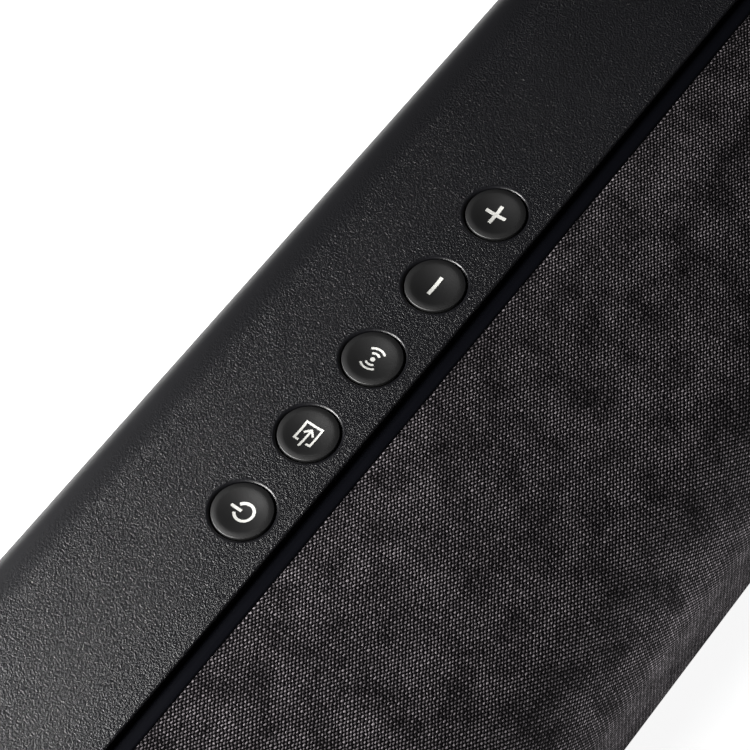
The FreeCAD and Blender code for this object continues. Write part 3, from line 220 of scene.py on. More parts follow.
def looped(grid):
    """The grid with its first column repeated at the end, so that it closes."""
    return np.concatenate([grid, grid[:, :1]], 1)


def revolve(profile, centre, segments=96):
    """Grid of a profile (r, z) turned about a vertical line: (cx + r cos a, cy + r sin a, z)."""
    angle = np.linspace(0, 2 * np.pi, segments + 1)
    r = profile[:, :1]
    x = centre[0] + r * np.cos(angle)
    y = centre[1] + r * np.sin(angle)
    z = np.repeat(profile[:, 1:2], segments + 1, 1)
    grid = np.stack([x, y, z], -1)
    grid[:, -1] = grid[:, 0]
    return grid


def grid_faces(rows, columns, first):
    """Quads of a grid of points numbered row by row from first."""
    index = np.arange(rows * columns).reshape(rows, columns) + first
    return np.stack([index[:-1, :-1], index[:-1, 1:], index[1:, 1:], index[1:, :-1]], -1).reshape(-1, 4)


def build(name, grids, body, material, closed=True, sharp=35.0, uvs=None):
    """One mesh piece from grids of points, with touching edges joined.

    Points nearer than a tenth of a micron are one vertex, and a quad with two equal corners becomes a triangle.
    """
    points = np.concatenate([grid.reshape(-1, 3) for grid in grids])
    faces, first = [], 0
    for grid in grids:
        rows, columns = grid.shape[:2]
        faces.append(grid_faces(rows, columns, first))
        first += rows * columns
    faces = np.concatenate(faces)
    corner_uv = None if uvs is None else np.concatenate([uv.reshape(-1, 2) for uv in uvs])[faces]
    _, keep, same = np.unique(np.round(points * 1e7).astype(np.int64), axis=0, return_index=True, return_inverse=True)
    faces = same.reshape(-1)[faces]
    repeat = faces == np.roll(faces, -1, 1)
    quads = faces[repeat.sum(1) == 0]
    folded = repeat.sum(1) == 1
    triangles = faces[folded][~repeat[folded]].reshape(-1, 3)
    mesh = bpy.data.meshes.new(name)
    mesh.from_pydata(points[keep], [], quads.tolist() + triangles.tolist())
    if corner_uv is not None:
        layer = mesh.uv_layers.new(name="weave")
        kept = np.concatenate([
            corner_uv[repeat.sum(1) == 0].reshape(-1, 2),
            corner_uv[folded][~repeat[folded]].reshape(-1, 2)])
        layer.data.foreach_set("uv", kept.ravel().astype(np.float32))
    piece = bpy.data.objects.new(name, mesh)
    bpy.context.scene.collection.objects.link(piece)
    if closed:
        shape = bmesh.new()
        shape.from_mesh(mesh)
        bmesh.ops.recalc_face_normals(shape, faces=shape.faces)
        shape.to_mesh(mesh)
        shape.free()
    smooth(mesh, sharp)
    mesh.materials.append(material)
    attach(piece, body)
    return piece


def smooth(mesh, sharp=35.0):
    """Smooth shading with creases where faces meet at more than an angle."""
    mesh.polygons.foreach_set("use_smooth", np.ones(len(mesh.polygons), bool))
    mesh.set_sharp_from_angle(angle=math.radians(sharp))
    mesh.update()


# ---------------------------------------------------------------- material helpers

class Maker:
    """Short way to write a node tree: each call makes a node and returns its first output."""

    def __init__(self, name):
        self.material = bpy.data.materials.new(name)
        self.material.use_nodes = True
        self.tree = self.material.node_tree
        self.shader = self.tree.nodes["Principled BSDF"]

    def node(self, kind, out=0, inputs=None, **settings):
        made = self.tree.nodes.new(kind)
        for key, value in settings.items():
            setattr(made, key, value)
        for key, value in (inputs or {}).items():
            self.feed(made.inputs[key], value)
        return made.outputs[out]

    def feed(self, socket, value):
        if isinstance(value, bpy.types.NodeSocket):
            self.tree.links.new(value, socket)
        else:
            socket.default_value = value

    def math(self, operation, a, b=0.0, c=None):
        inputs = {0: a, 1: b}
        if c is not None:
            inputs[2] = c
        return self.node("ShaderNodeMath", operation=operation, inputs=inputs)

    def position(self, scale=(1, 1, 1)):
        here = self.node("ShaderNodeTexCoord", out="Object")
        return self.node("ShaderNodeMapping", inputs={"Vector": here, "Scale": scale})

    def noise(self, vector, scale, detail=2.0, roughness=0.5, distortion=0.0):
        return self.node("ShaderNodeTexNoise", inputs={
            "Vector": vector, "Scale": scale, "Detail": detail, "Roughness": roughness, "Distortion": distortion})

    def ramp(self, factor, stops):
        made = self.tree.nodes.new("ShaderNodeValToRGB")
        self.tree.links.new(factor, made.inputs[0])
        band = made.color_ramp
        while len(band.elements) < len(stops):
            band.elements.new(0.5)
        for element, (place, colour) in zip(band.elements, stops):
            element.position = place
            element.color = (*colour, 1.0) if hasattr(colour, "__len__") else (colour,) * 3 + (1.0,)
        return made.outputs[0]

    def spread(self, factor, low, high, to_low, to_high):
        return self.node("ShaderNodeMapRange", inputs={
            "Value": factor, "From Min": low, "From Max": high, "To Min": to_low, "To Max": to_high})

    def bump(self, height, strength, distance, normal=None):
        inputs = {"Height": height, "Strength": strength, "Distance": distance}
        if normal is not None:
            inputs["Normal"] = normal
        return self.node("ShaderNodeBump", inputs=inputs)

    def set(self, **values):
        names = {"colour": "Base Color", "roughness": "Roughness", "metallic": "Metallic", "normal": "Normal",
                 "specular": "Specular IOR Level", "coat": "Coat Weight", "coat_roughness": "Coat Roughness",
                 "sheen": "Sheen Weight", "sheen_roughness": "Sheen Roughness", "transmission": "Transmission Weight",
                 "ior": "IOR", "emission": "Emission Color", "emission_strength": "Emission Strength"}
        for key, value in values.items():
            if key in ("colour", "emission") and not isinstance(value, bpy.types.NodeSocket):
                value = (*value[:3], 1.0)
            self.feed(self.shader.inputs[names[key]], value)
        return self.material


MATERIALS = {}


def material(name):
    """The named material, made by its recipe the first time it is asked for."""
    if name not in MATERIALS:
        MATERIALS[name] = RECIPES[name]()
    return MATERIALS[name]


def tinted(maker, here, colour, scale, amount):
    """A colour that drifts lighter and darker by an amount over a scale."""
    drift = maker.noise(here, scale, detail=3.0)
    low = tuple(c * (1 - amount) for c in colour[:3])
    high = tuple(min(1.0, c * (1 + amount)) for c in colour[:3])
    return maker.ramp(drift, ((0.3, low), (0.7, high)))


def grained_plastic():
    """Black moulded plastic with a leather grain: cells of the grain stand a little proud, with fine pits.

    The grain fades on the rear roll and at each hole's rounded edge, where the distance to the nearest hole's
    centre, sqrt((x - pitch * round(x / pitch))^2 + (y - row)^2), comes down to the hole's radius.
    """
    settings = bpy.context.scene.soundbar_panel
    maker = Maker("grained_plastic")
    here = maker.position()
    grain = 1 / settings.grain
    bend = maker.noise(here, grain * 0.5, detail=1.0)
    warped = maker.node("ShaderNodeVectorMath", operation="MULTIPLY_ADD",
                        inputs={0: maker.node("ShaderNodeCombineXYZ", inputs={0: bend, 1: bend, 2: bend}),
                                1: (0.0009, 0.0009, 0.0009), 2: here})
    cells = maker.node("ShaderNodeTexVoronoi", feature="SMOOTH_F1", inputs={
        "Vector": warped, "Scale": grain, "Smoothness": 0.5})
    wrinkles = maker.noise(warped, grain * 1.3, detail=4.0, roughness=0.62, distortion=0.4)
    height = maker.math("ADD", maker.math("MULTIPLY", cells, -0.7), wrinkles)
    fine = maker.noise(here, grain * 7, detail=2.0)
    height = maker.math("ADD", height, maker.math("MULTIPLY", fine, 0.03))
    colour = tinted(maker, here, settings.colour, 40.0, 0.12)
    split = maker.tree.nodes.new("ShaderNodeSeparateXYZ")
    maker.tree.links.new(here, split.inputs[0])
    x, y = split.outputs[0], split.outputs[1]
    matt = maker.spread(y, REAR - 12 * MM, REAR - 6 * MM, 0.0, 0.12)
    rough = maker.math("ADD", maker.spread(wrinkles, 0.3, 0.7, 0.37, 0.29), matt)
    place = maker.math("ROUND", maker.math("DIVIDE", x, PITCH))
    nearest = maker.math("MINIMUM", maker.math("MAXIMUM", place, -2.0), 2.0)
    beside = maker.math("SUBTRACT", x, maker.math("MULTIPLY", nearest, PITCH))
    behind = maker.math("SUBTRACT", y, ROW)
    away = maker.math("SQRT", maker.math("ADD", maker.math("MULTIPLY", beside, beside),
                                         maker.math("MULTIPLY", behind, behind)))
    hole = settings.hole_radius + settings.hole_edge
    polish = maker.math("MULTIPLY", maker.spread(y, REAR - 11 * MM, REAR - 5 * MM, 1.0, 0.06),
                        maker.spread(away, hole - 0.2 * MM, hole + 0.2 * MM, 0.15, 1.0))
    shine = maker.spread(y, REAR - 3 * MM, REAR - 0.5 * MM, 0.8, 0.15)
    return maker.set(colour=colour, roughness=rough, specular=shine,
                     normal=maker.bump(height, polish, 0.00017))


def key_plastic():
    """Smooth satin plastic of the keys, with a very fine etch."""
    maker = Maker("key_plastic")
    here = maker.position()
    etch = maker.noise(here, 5200.0, detail=3.0, roughness=0.6)
    colour = tinted(maker, here, bpy.context.scene.soundbar_keys.colour, 300.0, 0.1)
    return maker.set(colour=colour, roughness=maker.spread(etch, 0.3, 0.7, 0.44, 0.54), specular=0.8,
                     normal=maker.bump(etch, 0.10, 0.00004))


def printed_ink():
    """White pad-printed ink, slightly uneven."""
    maker = Maker("printed_ink")
    here = maker.position()
    colour = tinted(maker, here, bpy.context.scene.soundbar_keys.ink, 2500.0, 0.05)
    etch = maker.noise(here, 6000.0, detail=2.0)
    return maker.set(colour=colour, roughness=0.55, normal=maker.bump(etch, 0.15, 0.00002))


def satin_trim():
    """Smooth black strip of the channel, with faint lengthwise drawing lines."""
    maker = Maker("satin_trim")
    here = maker.position((1.0, 60.0, 60.0))
    lines = maker.noise(here, 60.0, detail=2.0)
    colour = tinted(maker, here, (0.0022, 0.0024, 0.0040), 20.0, 0.1)
    return maker.set(colour=colour, roughness=maker.spread(lines, 0.3, 0.7, 0.32, 0.40), specular=0.2,
                     normal=maker.bump(lines, 0.05, 0.00005))


def heathered_weave():
    """Plain weave of dark and light yarns.

    With u along the bar and v over the front, s = sin(pi u / a) sin(pi v / b) is positive where one yarn lies
    on top and negative where the other does; its size is the yarn's roundness. Noise stretched along each
    yarn mixes the fibres, and a broad noise makes the heather. Where the yarns dip, the colour is darkened: painted
    shade in the hollows of the weave.
    """
    settings = bpy.context.scene.soundbar_cloth
    maker = Maker("heathered_weave")
    place = maker.node("ShaderNodeUVMap", uv_map="weave")
    split = maker.tree.nodes.new("ShaderNodeSeparateXYZ")
    maker.tree.links.new(place, split.inputs[0])
    u, v = split.outputs[0], split.outputs[1]
    wobble = maker.noise(place, 700.0, detail=2.0)
    shift = maker.math("MULTIPLY_ADD", wobble, 0.0009, -0.00045)
    v = maker.math("ADD", maker.math("MULTIPLY_ADD", u, 0.04, v), maker.math("MULTIPLY", shift, 0.6))
    u = maker.math("ADD", u, shift)
    column = maker.math("DIVIDE", u, settings.yarn_along)
    row = maker.math("DIVIDE", v, settings.yarn_across)
    wave_u = maker.math("SINE", maker.math("MULTIPLY", column, math.pi))
    wave_v = maker.math("SINE", maker.math("MULTIPLY", row, math.pi))
    over = maker.math("MULTIPLY", wave_u, wave_v)
    lift = maker.math("POWER", maker.math("ABSOLUTE", over), 0.6)
    upper = maker.spread(over, -0.25, 0.25, 0.0, 1.0)
    cell = maker.node("ShaderNodeCombineXYZ", inputs={
        0: maker.math("FLOOR", column), 1: maker.math("FLOOR", row), 2: 0.0})
    speck = maker.node("ShaderNodeTexWhiteNoise", inputs={"Vector": cell})
    fibres = maker.noise(maker.node("ShaderNodeCombineXYZ", inputs={
        0: maker.math("MULTIPLY", u, 900.0), 1: maker.math("MULTIPLY", v, 2600.0), 2: 0.0}), 1.0, detail=3.0)
    heather = maker.noise(place, 120.0, detail=4.0, roughness=0.65)
    broad = maker.noise(place, 22.0, detail=2.0)
    mix = maker.math("MULTIPLY", upper, maker.spread(speck, 0.0, 1.0, 0.6, 1.0))
    mix = maker.math("MULTIPLY", mix, maker.spread(heather, 0.3, 0.7, 0.35, 1.25))
    mix = maker.math("MULTIPLY", mix, maker.spread(broad, 0.3, 0.7, 0.75, 1.2))
    mix = maker.math("MULTIPLY", mix, maker.spread(fibres, 0.25, 0.75, 0.7, 1.2))
    # painted shade: the light yarn is darkened where the yarns dip, in the hollows between them
    mix = maker.math("MULTIPLY", mix, maker.spread(lift, 0.0, 1.0, 0.05, 1.0))
    mix = maker.math("MULTIPLY", mix, maker.math("MULTIPLY_ADD", wave_v, 0.4, 1.0))
    colour = maker.ramp(mix, ((0.08, settings.dark), (1.0, settings.light)))
    height = maker.math("MULTIPLY_ADD", fibres, 0.35, lift)
    return maker.set(colour=colour, roughness=0.9, specular=0.05,
                     normal=maker.bump(height, 0.8, 0.00014))


def plain_finish(name, colour, roughness, grain=2500.0, depth=0.00003, strength=0.2, metallic=0.0, drift=0.12,
                 specular=0.5, **more):
    """Recipe for a moulded, coated or metal surface: a drifting colour, uneven gloss and a fine bump."""
    def recipe():
        maker = Maker(name)
        here = maker.position()
        texture = maker.noise(here, grain, detail=3.0, roughness=0.6)
        return maker.set(colour=tinted(maker, here, colour, 60.0, drift), metallic=metallic, specular=specular,
                         roughness=maker.spread(texture, 0.3, 0.7, roughness - 0.05, roughness + 0.05),
                         normal=maker.bump(texture, strength, depth), **more)
    return recipe


RECIPES = {
    "grained_plastic": grained_plastic,
    "key_plastic": key_plastic,
    "printed_ink": printed_ink,
    "satin_trim": satin_trim,
    "heathered_weave": heathered_weave,
    "housing_plastic": plain_finish("housing_plastic", (0.008, 0.008, 0.0085), 0.5, 1300.0, 0.00008, 0.4),
    "frame_plastic": plain_finish("frame_plastic", (0.016, 0.016, 0.016), 0.5),
    "socket_plastic": plain_finish("socket_plastic", (0.012, 0.012, 0.012), 0.35),
    "foot_rubber": plain_finish("foot_rubber", (0.022, 0.022, 0.022), 0.8, 1800.0, 0.0001, 0.4),
    "plated_steel": plain_finish("plated_steel", (0.55, 0.55, 0.53), 0.35, 700.0, metallic=1.0),
    "black_steel": plain_finish("black_steel", (0.05, 0.05, 0.05), 0.4, metallic=0.6),
    "grille_steel": plain_finish("grille_steel", (0.02, 0.02, 0.02), 0.45, 3000.0),
    "silicone": plain_finish("silicone", (0.30, 0.30, 0.31), 0.6),
    "circuit_board": plain_finish("circuit_board", (0.010, 0.075, 0.030), 0.35, 400.0),
    "chip_resin": plain_finish("chip_resin", (0.02, 0.02, 0.02), 0.5),
    "transformer_tape": plain_finish("transformer_tape", (0.62, 0.45, 0.06), 0.4, 500.0),
    "capacitor_sleeve": plain_finish("capacitor_sleeve", (0.02, 0.03, 0.09), 0.3),
    "cooler_aluminium": plain_finish("cooler_aluminium", (0.6, 0.6, 0.62), 0.35, 600.0, metallic=1.0),
    "socket_shell": plain_finish("socket_shell", (0.55, 0.53, 0.48), 0.28, 1500.0, metallic=1.0),
    "lamp_lens": plain_finish("lamp_lens", (0.75, 0.75, 0.65), 0.25, transmission=0.4),
    "clear_plastic": plain_finish("clear_plastic", (0.9, 0.9, 0.9), 0.12, transmission=0.9, ior=1.49),
    "dark_lens": plain_finish("dark_lens", (0.03, 0.008, 0.014), 0.12),
    "foam": plain_finish("foam", (0.03, 0.03, 0.03), 0.95, 1200.0, 0.0003, 0.8),
    "magnet_ferrite": plain_finish("magnet_ferrite", (0.06, 0.06, 0.065), 0.45, 900.0, metallic=0.3),
    "basket_metal": plain_finish("basket_metal", (0.02, 0.02, 0.02), 0.4, 2200.0, 0.00006, 0.4),
    "surround_rubber": plain_finish("surround_rubber", (0.018, 0.018, 0.018), 0.55),
    "cone_paper": plain_finish("cone_paper", (0.035, 0.035, 0.036), 0.8, 1400.0, 0.0002, 0.6),
    "dome_silk": plain_finish("dome_silk", (0.03, 0.03, 0.03), 0.5, 3500.0, 0.00005, 0.5),
}
FINISH_OF_SLOT = {
    "panel_plastic": "grained_plastic",
    "button_plastic": "key_plastic",
    "trim_plastic": "satin_trim",
    "cloth": "heathered_weave",
}


# ---------------------------------------------------------------- the curved front

TUCK = math.radians(2.0)
CROWN = math.radians(11.5)
CROWN_CORNER = 5 * MM
CROWN_RADIUS = 130 * MM
SHOULDER_RADIUS = 25 * MM
CHIN_RADIUS = 5 * MM


def front_corners(inset):
    """Corners of the front's outline, set in by a distance: crown, shoulder and chin."""
    start_y, start_z = CLOTH_HIGH[1], TOP - 0.5 * MM
    front, base = CLOTH_LOW[1], CLOTH_LOW[2]
    bend = start_z - (start_y + CROWN_CORNER) * math.tan(TUCK)
    shoulder = bend - (-front - CROWN_CORNER) * math.tan(CROWN)
    half = (CROWN - TUCK) / 2
    turn = (math.pi / 2 - CROWN) / 2
    return [
        (-CROWN_CORNER + inset * math.sin((TUCK + CROWN) / 2) / math.cos(half),
         bend - inset * math.cos((TUCK + CROWN) / 2) / math.cos(half), CROWN_RADIUS - inset),
        (front + inset, shoulder - inset * math.cos(math.pi / 4 + CROWN / 2) / math.cos(turn),
         SHOULDER_RADIUS - inset),
        (front + inset, base + inset, CHIN_RADIUS - inset),
    ]


# ---------------------------------------------------------------- operators

class SOUNDBAR_OT_stage(bpy.types.Operator):
    """Camera, pale floor and soft studio light."""

    bl_idname = "soundbar.stage"
    bl_label = "Stage"

    def execute(self, context):
        settings = context.scene.soundbar_stage
        self.make_camera(context, settings)
        self.make_floor(settings)
        keys = Vector((0.0, ROW, TOP))
        area_light("left_softbox", (-0.75, 0.25, 0.36), keys, (0.5, 0.30), 14.0, (1.0, 0.99, 0.97))
        area_light("near_softbox", (-0.31, 0.31, 0.37), Vector((-0.17, 0.03, 0.06)), (0.20, 0.18), 3.5,
                   (1.0, 0.99, 0.98))
        area_light("high_softbox", (-0.10, 0.75, 1.00), keys, (0.40, 0.35), 0.25, (0.92, 0.95, 1.0))
        area_light("bounce_card", (0.0, -0.22, 0.002), Vector((0.0, -0.22, 1.0)), (1.1, 0.22), 3.5, (1.0, 1.0, 1.0))
        world = bpy.data.worlds.new("studio")
        world.use_nodes = True
        world.node_tree.nodes["Background"].inputs[0].default_value = (0.9, 0.93, 1.0, 1.0)
        world.node_tree.nodes["Background"].inputs[1].default_value = 0.03
        context.scene.world = world
        context.scene.view_settings.view_transform = "Standard"
        return {"FINISHED"}

    def make_camera(self, context, settings):
        """Camera on a sphere about a point beside the middle key, rolled about its own axis."""
        az, el, roll = settings.azimuth, settings.elevation, settings.roll
        back = Vector((math.sin(az) * math.cos(el), -math.cos(az) * math.cos(el), math.sin(el)))
        right = Vector((math.cos(az), math.sin(az), 0.0))
        up = back.cross(right)
        turned_right = right * math.cos(roll) + up * math.sin(roll)
        turned_up = -right * math.sin(roll) + up * math.cos(roll)
        place = Vector((-0.136 * PITCH, ROW - 0.128 * PITCH, TOP)) + back * settings.distance
        data = bpy.data.cameras.new("camera")
        data.lens = settings.lens
        data.sensor_width = 36.0
        data.clip_start = 0.01
        camera = bpy.data.objects.new("camera", data)
        turn = Matrix((turned_right, turned_up, back)).transposed().to_4x4()
        camera.matrix_world = Matrix.Translation(place) @ turn
        context.scene.collection.objects.link(camera)
        context.scene.camera = camera

    def make_floor(self, settings):
        """Flat pale floor that stays white under the object."""
        maker = Maker("floor_paint")
        here = maker.position()
        shade = maker.noise(here, 3.0, detail=2.0)
        maker.set(colour=maker.ramp(shade, ((0.3, 0.86), (0.7, 0.90))), roughness=0.7, specular=0.2,
                  emission=(1.0, 1.0, 1.0), emission_strength=0.9)
        half = settings.floor_size / 2
        line = np.linspace(-half, half, 9)
        x, y = np.meshgrid(line, line, indexing="ij")
        mesh = bpy.data.meshes.new("floor")
        mesh.from_pydata(np.stack([x, y, np.zeros_like(x)], -1).reshape(-1, 3), [],
                         grid_faces(9, 9, 0)[:, ::-1].tolist())
        mesh.materials.append(maker.material)
        floor = bpy.data.objects.new("floor", mesh)
        bpy.context.scene.collection.objects.link(floor)


def area_light(name, place, target, size, power, colour):
    """Rectangular soft light that faces a point."""
    data = bpy.data.lights.new(name, "AREA")
    data.shape = "RECTANGLE"
    data.size, data.size_y = size
    data.energy = power
    data.color = colour
    light = bpy.data.objects.new(name, data)
    place = Vector(place)
    light.matrix_world = Matrix.Translation(place) @ (target - place).to_track_quat("-Z", "Y").to_matrix().to_4x4()
    bpy.context.scene.collection.objects.link(light)


class SOUNDBAR_OT_top_panel(bpy.types.Operator):
    """Grained top panel with its rolled rear edge and five rounded key holes."""

    bl_idname = "soundbar.top_panel"
    bl_label = "Top panel"

    steps = 32
    lip_depth = 6 * MM
    skirt = 50.6 * MM

    def execute(self, context):
        s = context.scene.soundbar_panel
        front, under = PANEL_LOW[1], TOP - s.wall
        lip, skirt = TOP - self.lip_depth, self.skirt
        near, far = front + s.front_edge + 0.6 * MM, ROW + PITCH / 2
        inner_near = front + 2 * MM
        edge_front = np.concatenate([
            rounded([(inner_near, under), (inner_near, lip), (front, lip), (front, TOP - s.front_edge - 0.15 * MM)]),
            rounded([(front, TOP - 2 * MM), (front, TOP, s.front_edge), (near, TOP)])[1:-1],
            [(front + s.front_edge + 0.15 * MM, TOP), (near, TOP)]])
        edge_rear = np.concatenate([
            [(far, TOP), (REAR - s.rear_roll - 0.5 * MM, TOP)],
            rounded([(far, TOP), (REAR, TOP, s.rear_roll), (REAR, skirt)], 20)[1:-1],
            [(REAR, TOP - s.rear_roll - 0.5 * MM), (REAR, skirt + 0.4 * MM), (REAR - 0.2 * MM, skirt),
             (REAR - s.wall, skirt)],
            rounded([(REAR - s.wall, skirt), (REAR - s.wall, under, s.rear_roll - s.wall), (far, under)], 10)[1:]])
        cells = np.linspace(-2.5 * PITCH, 2.5 * PITCH, 5 * self.steps + 1)
        left = np.linspace(-HALF, cells[0], 25)
        xs = np.concatenate([left[:-1], cells, -left[::-1][1:]])
        grids = [extrude(edge_front, xs), extrude(edge_rear, xs)]
        for low, height in ((near, TOP), (inner_near, under)):
            rows = np.stack([np.linspace(low, far, self.steps + 1), np.full(self.steps + 1, height)], 1)
            grids += [extrude(rows, left), extrude(rows, -left[::-1])]
        for x, y in KEY_CENTRES:
            grids += self.cell(x, y, near, inner_near, far, s)
        for end in (-HALF, HALF):
            grids.append(self.end_face(edge_front, edge_rear, near, inner_near, far, under, end))
        piece = build("top_panel_skin", grids, HOUSING, material("grained_plastic"))
        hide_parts("top_panel")
        return {"FINISHED"}

    def square(self, x, near, far):
        """Points round a cell's edge, evenly spaced on each of its four sides."""
        half, share = PITCH / 2, np.linspace(0, 1, self.steps + 1)[:-1, None]
        corners = np.array([(x + half, near), (x + half, far), (x - half, far), (x - half, near)])
        return np.concatenate([a * (1 - share) + b * share for a, b in zip(corners, np.roll(corners, -1, 0))])

    def cell(self, x, y, near, inner_near, far, s):
        """Surface round one hole: from the cell's edge in to the hole, over its rounded edge and down the collar.

        A point between edge point E and ring point R, at share t, is (1 - t) E + t R.
        """
        outer = self.square(x, near, far)
        inner = self.square(x, inner_near, far)
        rim, under = s.hole_radius + s.hole_edge, TOP - s.wall
        shares = np.array([0, 0.3, 0.55, 0.75, 0.88, 0.95, 1.0])[:, None, None]
        grids = []
        angle = np.arctan2(outer[:, 1] - y, outer[:, 0] - x)
        for edge, radius, height in ((outer, rim, TOP), (inner, s.collar_radius, under)):
            ring = np.stack([x + radius * np.cos(angle), y + radius * np.sin(angle)], 1)
            flat = edge * (1 - shares) + ring * shares
            grids.append(looped(np.concatenate([flat, np.full(flat.shape[:2] + (1,), height)], 2)))
        foot = under - s.collar_drop
        profile = np.concatenate([
            rounded([(rim, TOP), (s.hole_radius, TOP, s.hole_edge * 0.999), (s.hole_radius, foot)], 10),
            [(s.collar_radius, foot), (s.collar_radius, under)]])
        r, z = profile[:, :1], profile[:, 1:2]
        wall = np.stack([x + r * np.cos(angle), y + r * np.sin(angle), np.repeat(z, len(angle), 1)], 2)
        grids.append(looped(wall))
        return grids

    def end_face(self, edge_front, edge_rear, near, inner_near, far, under, x):
        """Flat end of the panel: the outer and inner outlines joined across the wall's thickness."""
        rows = np.linspace(0, 1, self.steps + 1)[1:-1, None]
        top = np.array([(near, TOP)]) * (1 - rows) + np.array([(far, TOP)]) * rows
        below = np.array([(inner_near, under)]) * (1 - rows) + np.array([(far, under)]) * rows
        outer = np.concatenate([edge_front[2:], top, edge_rear[:25]])
        inner = np.concatenate([edge_front[1::-1], below, edge_rear[:24:-1]])
        share = np.linspace(0, 1, len(outer))
        inner_length = np.concatenate([[0], np.cumsum(np.linalg.norm(np.diff(inner, axis=0), axis=1))])
        inner_even = np.stack([np.interp(share * inner_length[-1], inner_length, inner[:, k]) for k in (0, 1)], 1)
        strip = np.stack([outer, inner_even], 1)
        return np.concatenate([np.full(strip.shape[:2] + (1,), x), strip], 2)


class SOUNDBAR_OT_trim(bpy.types.Operator):
    """Smooth strip in the channel between the panel and the cloth."""

    bl_idname = "soundbar.trim"
    bl_label = "Trim strip"

    def execute(self, context):
        low, high = TRIM_LOW, TRIM_HIGH
        radius = 0.7 * MM
        line = rounded([
            (low[1], low[2]), (low[1], high[2], radius), (high[1], high[2], radius), (high[1], low[2])], 8, True)
        line = np.concatenate([line, line[:1]])
        xs = np.linspace(low[0], high[0], 41)
        side = extrude(line, xs)
        middle = (low[1:] + high[1:]) / 2
        caps = [extrude(np.stack([line, np.broadcast_to(middle, line.shape)], 1).reshape(-1, 2), [x])
                .reshape(-1, 2, 3) for x in (low[0], high[0])]
        piece = build("trim_strip", [side, *caps], HOUSING, material("satin_trim"))
        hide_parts("groove_trim")
        return {"FINISHED"}


class SOUNDBAR_OT_cloth(bpy.types.Operator):
    """Heathered cloth stretched over the front, tucked into the channel and hemmed under the chin."""

    bl_idname = "soundbar.cloth"
    bl_label = "Cloth"

    hem_edge = -52 * MM

    def execute(self, context):
        s = context.scene.soundbar_cloth
        middle = s.thickness / 2
        start_y, start_z = CLOTH_HIGH[1] - middle, TOP - 0.5 * MM - middle
        line = rounded([
            (start_y, start_z - 2.7 * MM), (start_y, start_z, 0.5 * MM),
            *front_corners(middle), (self.hem_edge, CLOTH_LOW[2] + middle)], 24)
        line = refine(line, 1.6 * MM)
        xs = np.linspace(CLOTH_LOW[0], CLOTH_HIGH[0], 217)
        length = np.concatenate([[0], np.cumsum(np.linalg.norm(np.diff(line, axis=0), axis=1))])
        v, u = np.meshgrid(length, xs, indexing="ij")
        grid = extrude(line, xs)
        piece = build("cloth", [grid], HOUSING, material("heathered_weave"), closed=False, uvs=[np.stack([u, v], -1)])
        face_out(piece, Vector((0, -0.3, 1)))
        shell = piece.modifiers.new("thickness", "SOLIDIFY")
        shell.thickness = s.thickness
        shell.offset = 0.0
        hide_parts("grille_fabric")
        return {"FINISHED"}


def face_out(piece, outward):
    """Turn an open sheet's faces so that most of them look outward."""
    mesh = piece.data
    normals = np.zeros(len(mesh.polygons) * 3, np.float32)
    mesh.polygons.foreach_get("normal", normals)
    if normals.reshape(-1, 3).sum(0) @ np.array(outward) < 0:
        mesh.flip_normals()


def dish_height(r, s):
    """Height of a key's top at radius r: dish z = -depth (1 - (r/R)^2)^1.3, then the rim's gentle fall."""
    share = np.clip(r / s.dish_radius, 0, 1)
    dish = -s.dish_depth * (1 - share ** 2) ** 1.3
    fall = -s.rim_fall * np.clip((r - s.dish_radius) / (s.cap_radius - s.dish_radius), 0, 1) ** 2
    return dish + fall


class SOUNDBAR_OT_keys(bpy.types.Operator):
    """Five round keys with dished tops and sloped rims."""

    bl_idname = "soundbar.keys"
    bl_label = "Keys"

    flange_height = 54.2 * MM
    flange_radius = 7.9 * MM
    stem_radius = 2.4 * MM

    def execute(self, context):
        s = context.scene.soundbar_keys
        for (body, node), centre in zip(KEYS, KEY_CENTRES):
            low, high = box(node)
            rim = np.linspace(s.dish_radius, s.cap_radius - 0.25 * MM, 8)[1:]
            r = np.concatenate([np.linspace(0, s.dish_radius, 25), rim])
            top = np.stack([r, high[2] + dish_height(r, s)], 1)
            edge_z = top[-1, 1]
            angle = np.linspace(0, np.pi / 2, 7)[1:]
            edge = np.stack([s.cap_radius - 0.25 * MM + 0.25 * MM * np.sin(angle),
                             edge_z - 0.25 * MM * (1 - np.cos(angle))], 1)
            flange = self.flange_height
            below = np.array([
                (s.cap_radius, flange + 0.02 * MM), (s.cap_radius, flange), (self.flange_radius, flange),
                (self.flange_radius, flange - MM), (self.stem_radius, flange - MM), (self.stem_radius, low[2]),
                (0.0, low[2])])
            piece = build(f"{node}_cap", [revolve(np.concatenate([top, edge, below]), centre, 128)], body,
                          material("key_plastic"), sharp=50.0)
            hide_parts(node)
        return {"FINISHED"}


def stroke(path, width, closed=False):
    """Band of constant width along a path: at each point the path's normal times half the width, both ways."""
    path = np.array(path, float)
    if closed:
        ahead, behind = np.roll(path, -1, 0), np.roll(path, 1, 0)
    else:
        ahead = np.concatenate([path[1:], path[-1:]])
        behind = np.concatenate([path[:1], path[:-1]])
    before = path - behind
    after = ahead - path
    before = np.where(np.linalg.norm(before, axis=1, keepdims=True) > 0, before, after)
    after = np.where(np.linalg.norm(after, axis=1, keepdims=True) > 0, after, before)
    before /= np.linalg.norm(before, axis=1, keepdims=True)
    after /= np.linalg.norm(after, axis=1, keepdims=True)
    normal = np.stack([-(before + after)[:, 1], (before + after)[:, 0]], 1)
    normal /= np.linalg.norm(normal, axis=1, keepdims=True)
    stretch = 1 / np.maximum(0.5, normal[:, 0] * -after[:, 1] + normal[:, 1] * after[:, 0])
    side = normal * (width / 2 * stretch)[:, None]
    return path + side, path - side


def arc(centre, radius, start, end, steps=32):
    """Points along an arc, angles in degrees."""
    angle = np.radians(np.linspace(start, end, steps + 1))
    return np.stack([centre[0] + radius * np.cos(angle), centre[1] + radius * np.sin(angle)], 1)


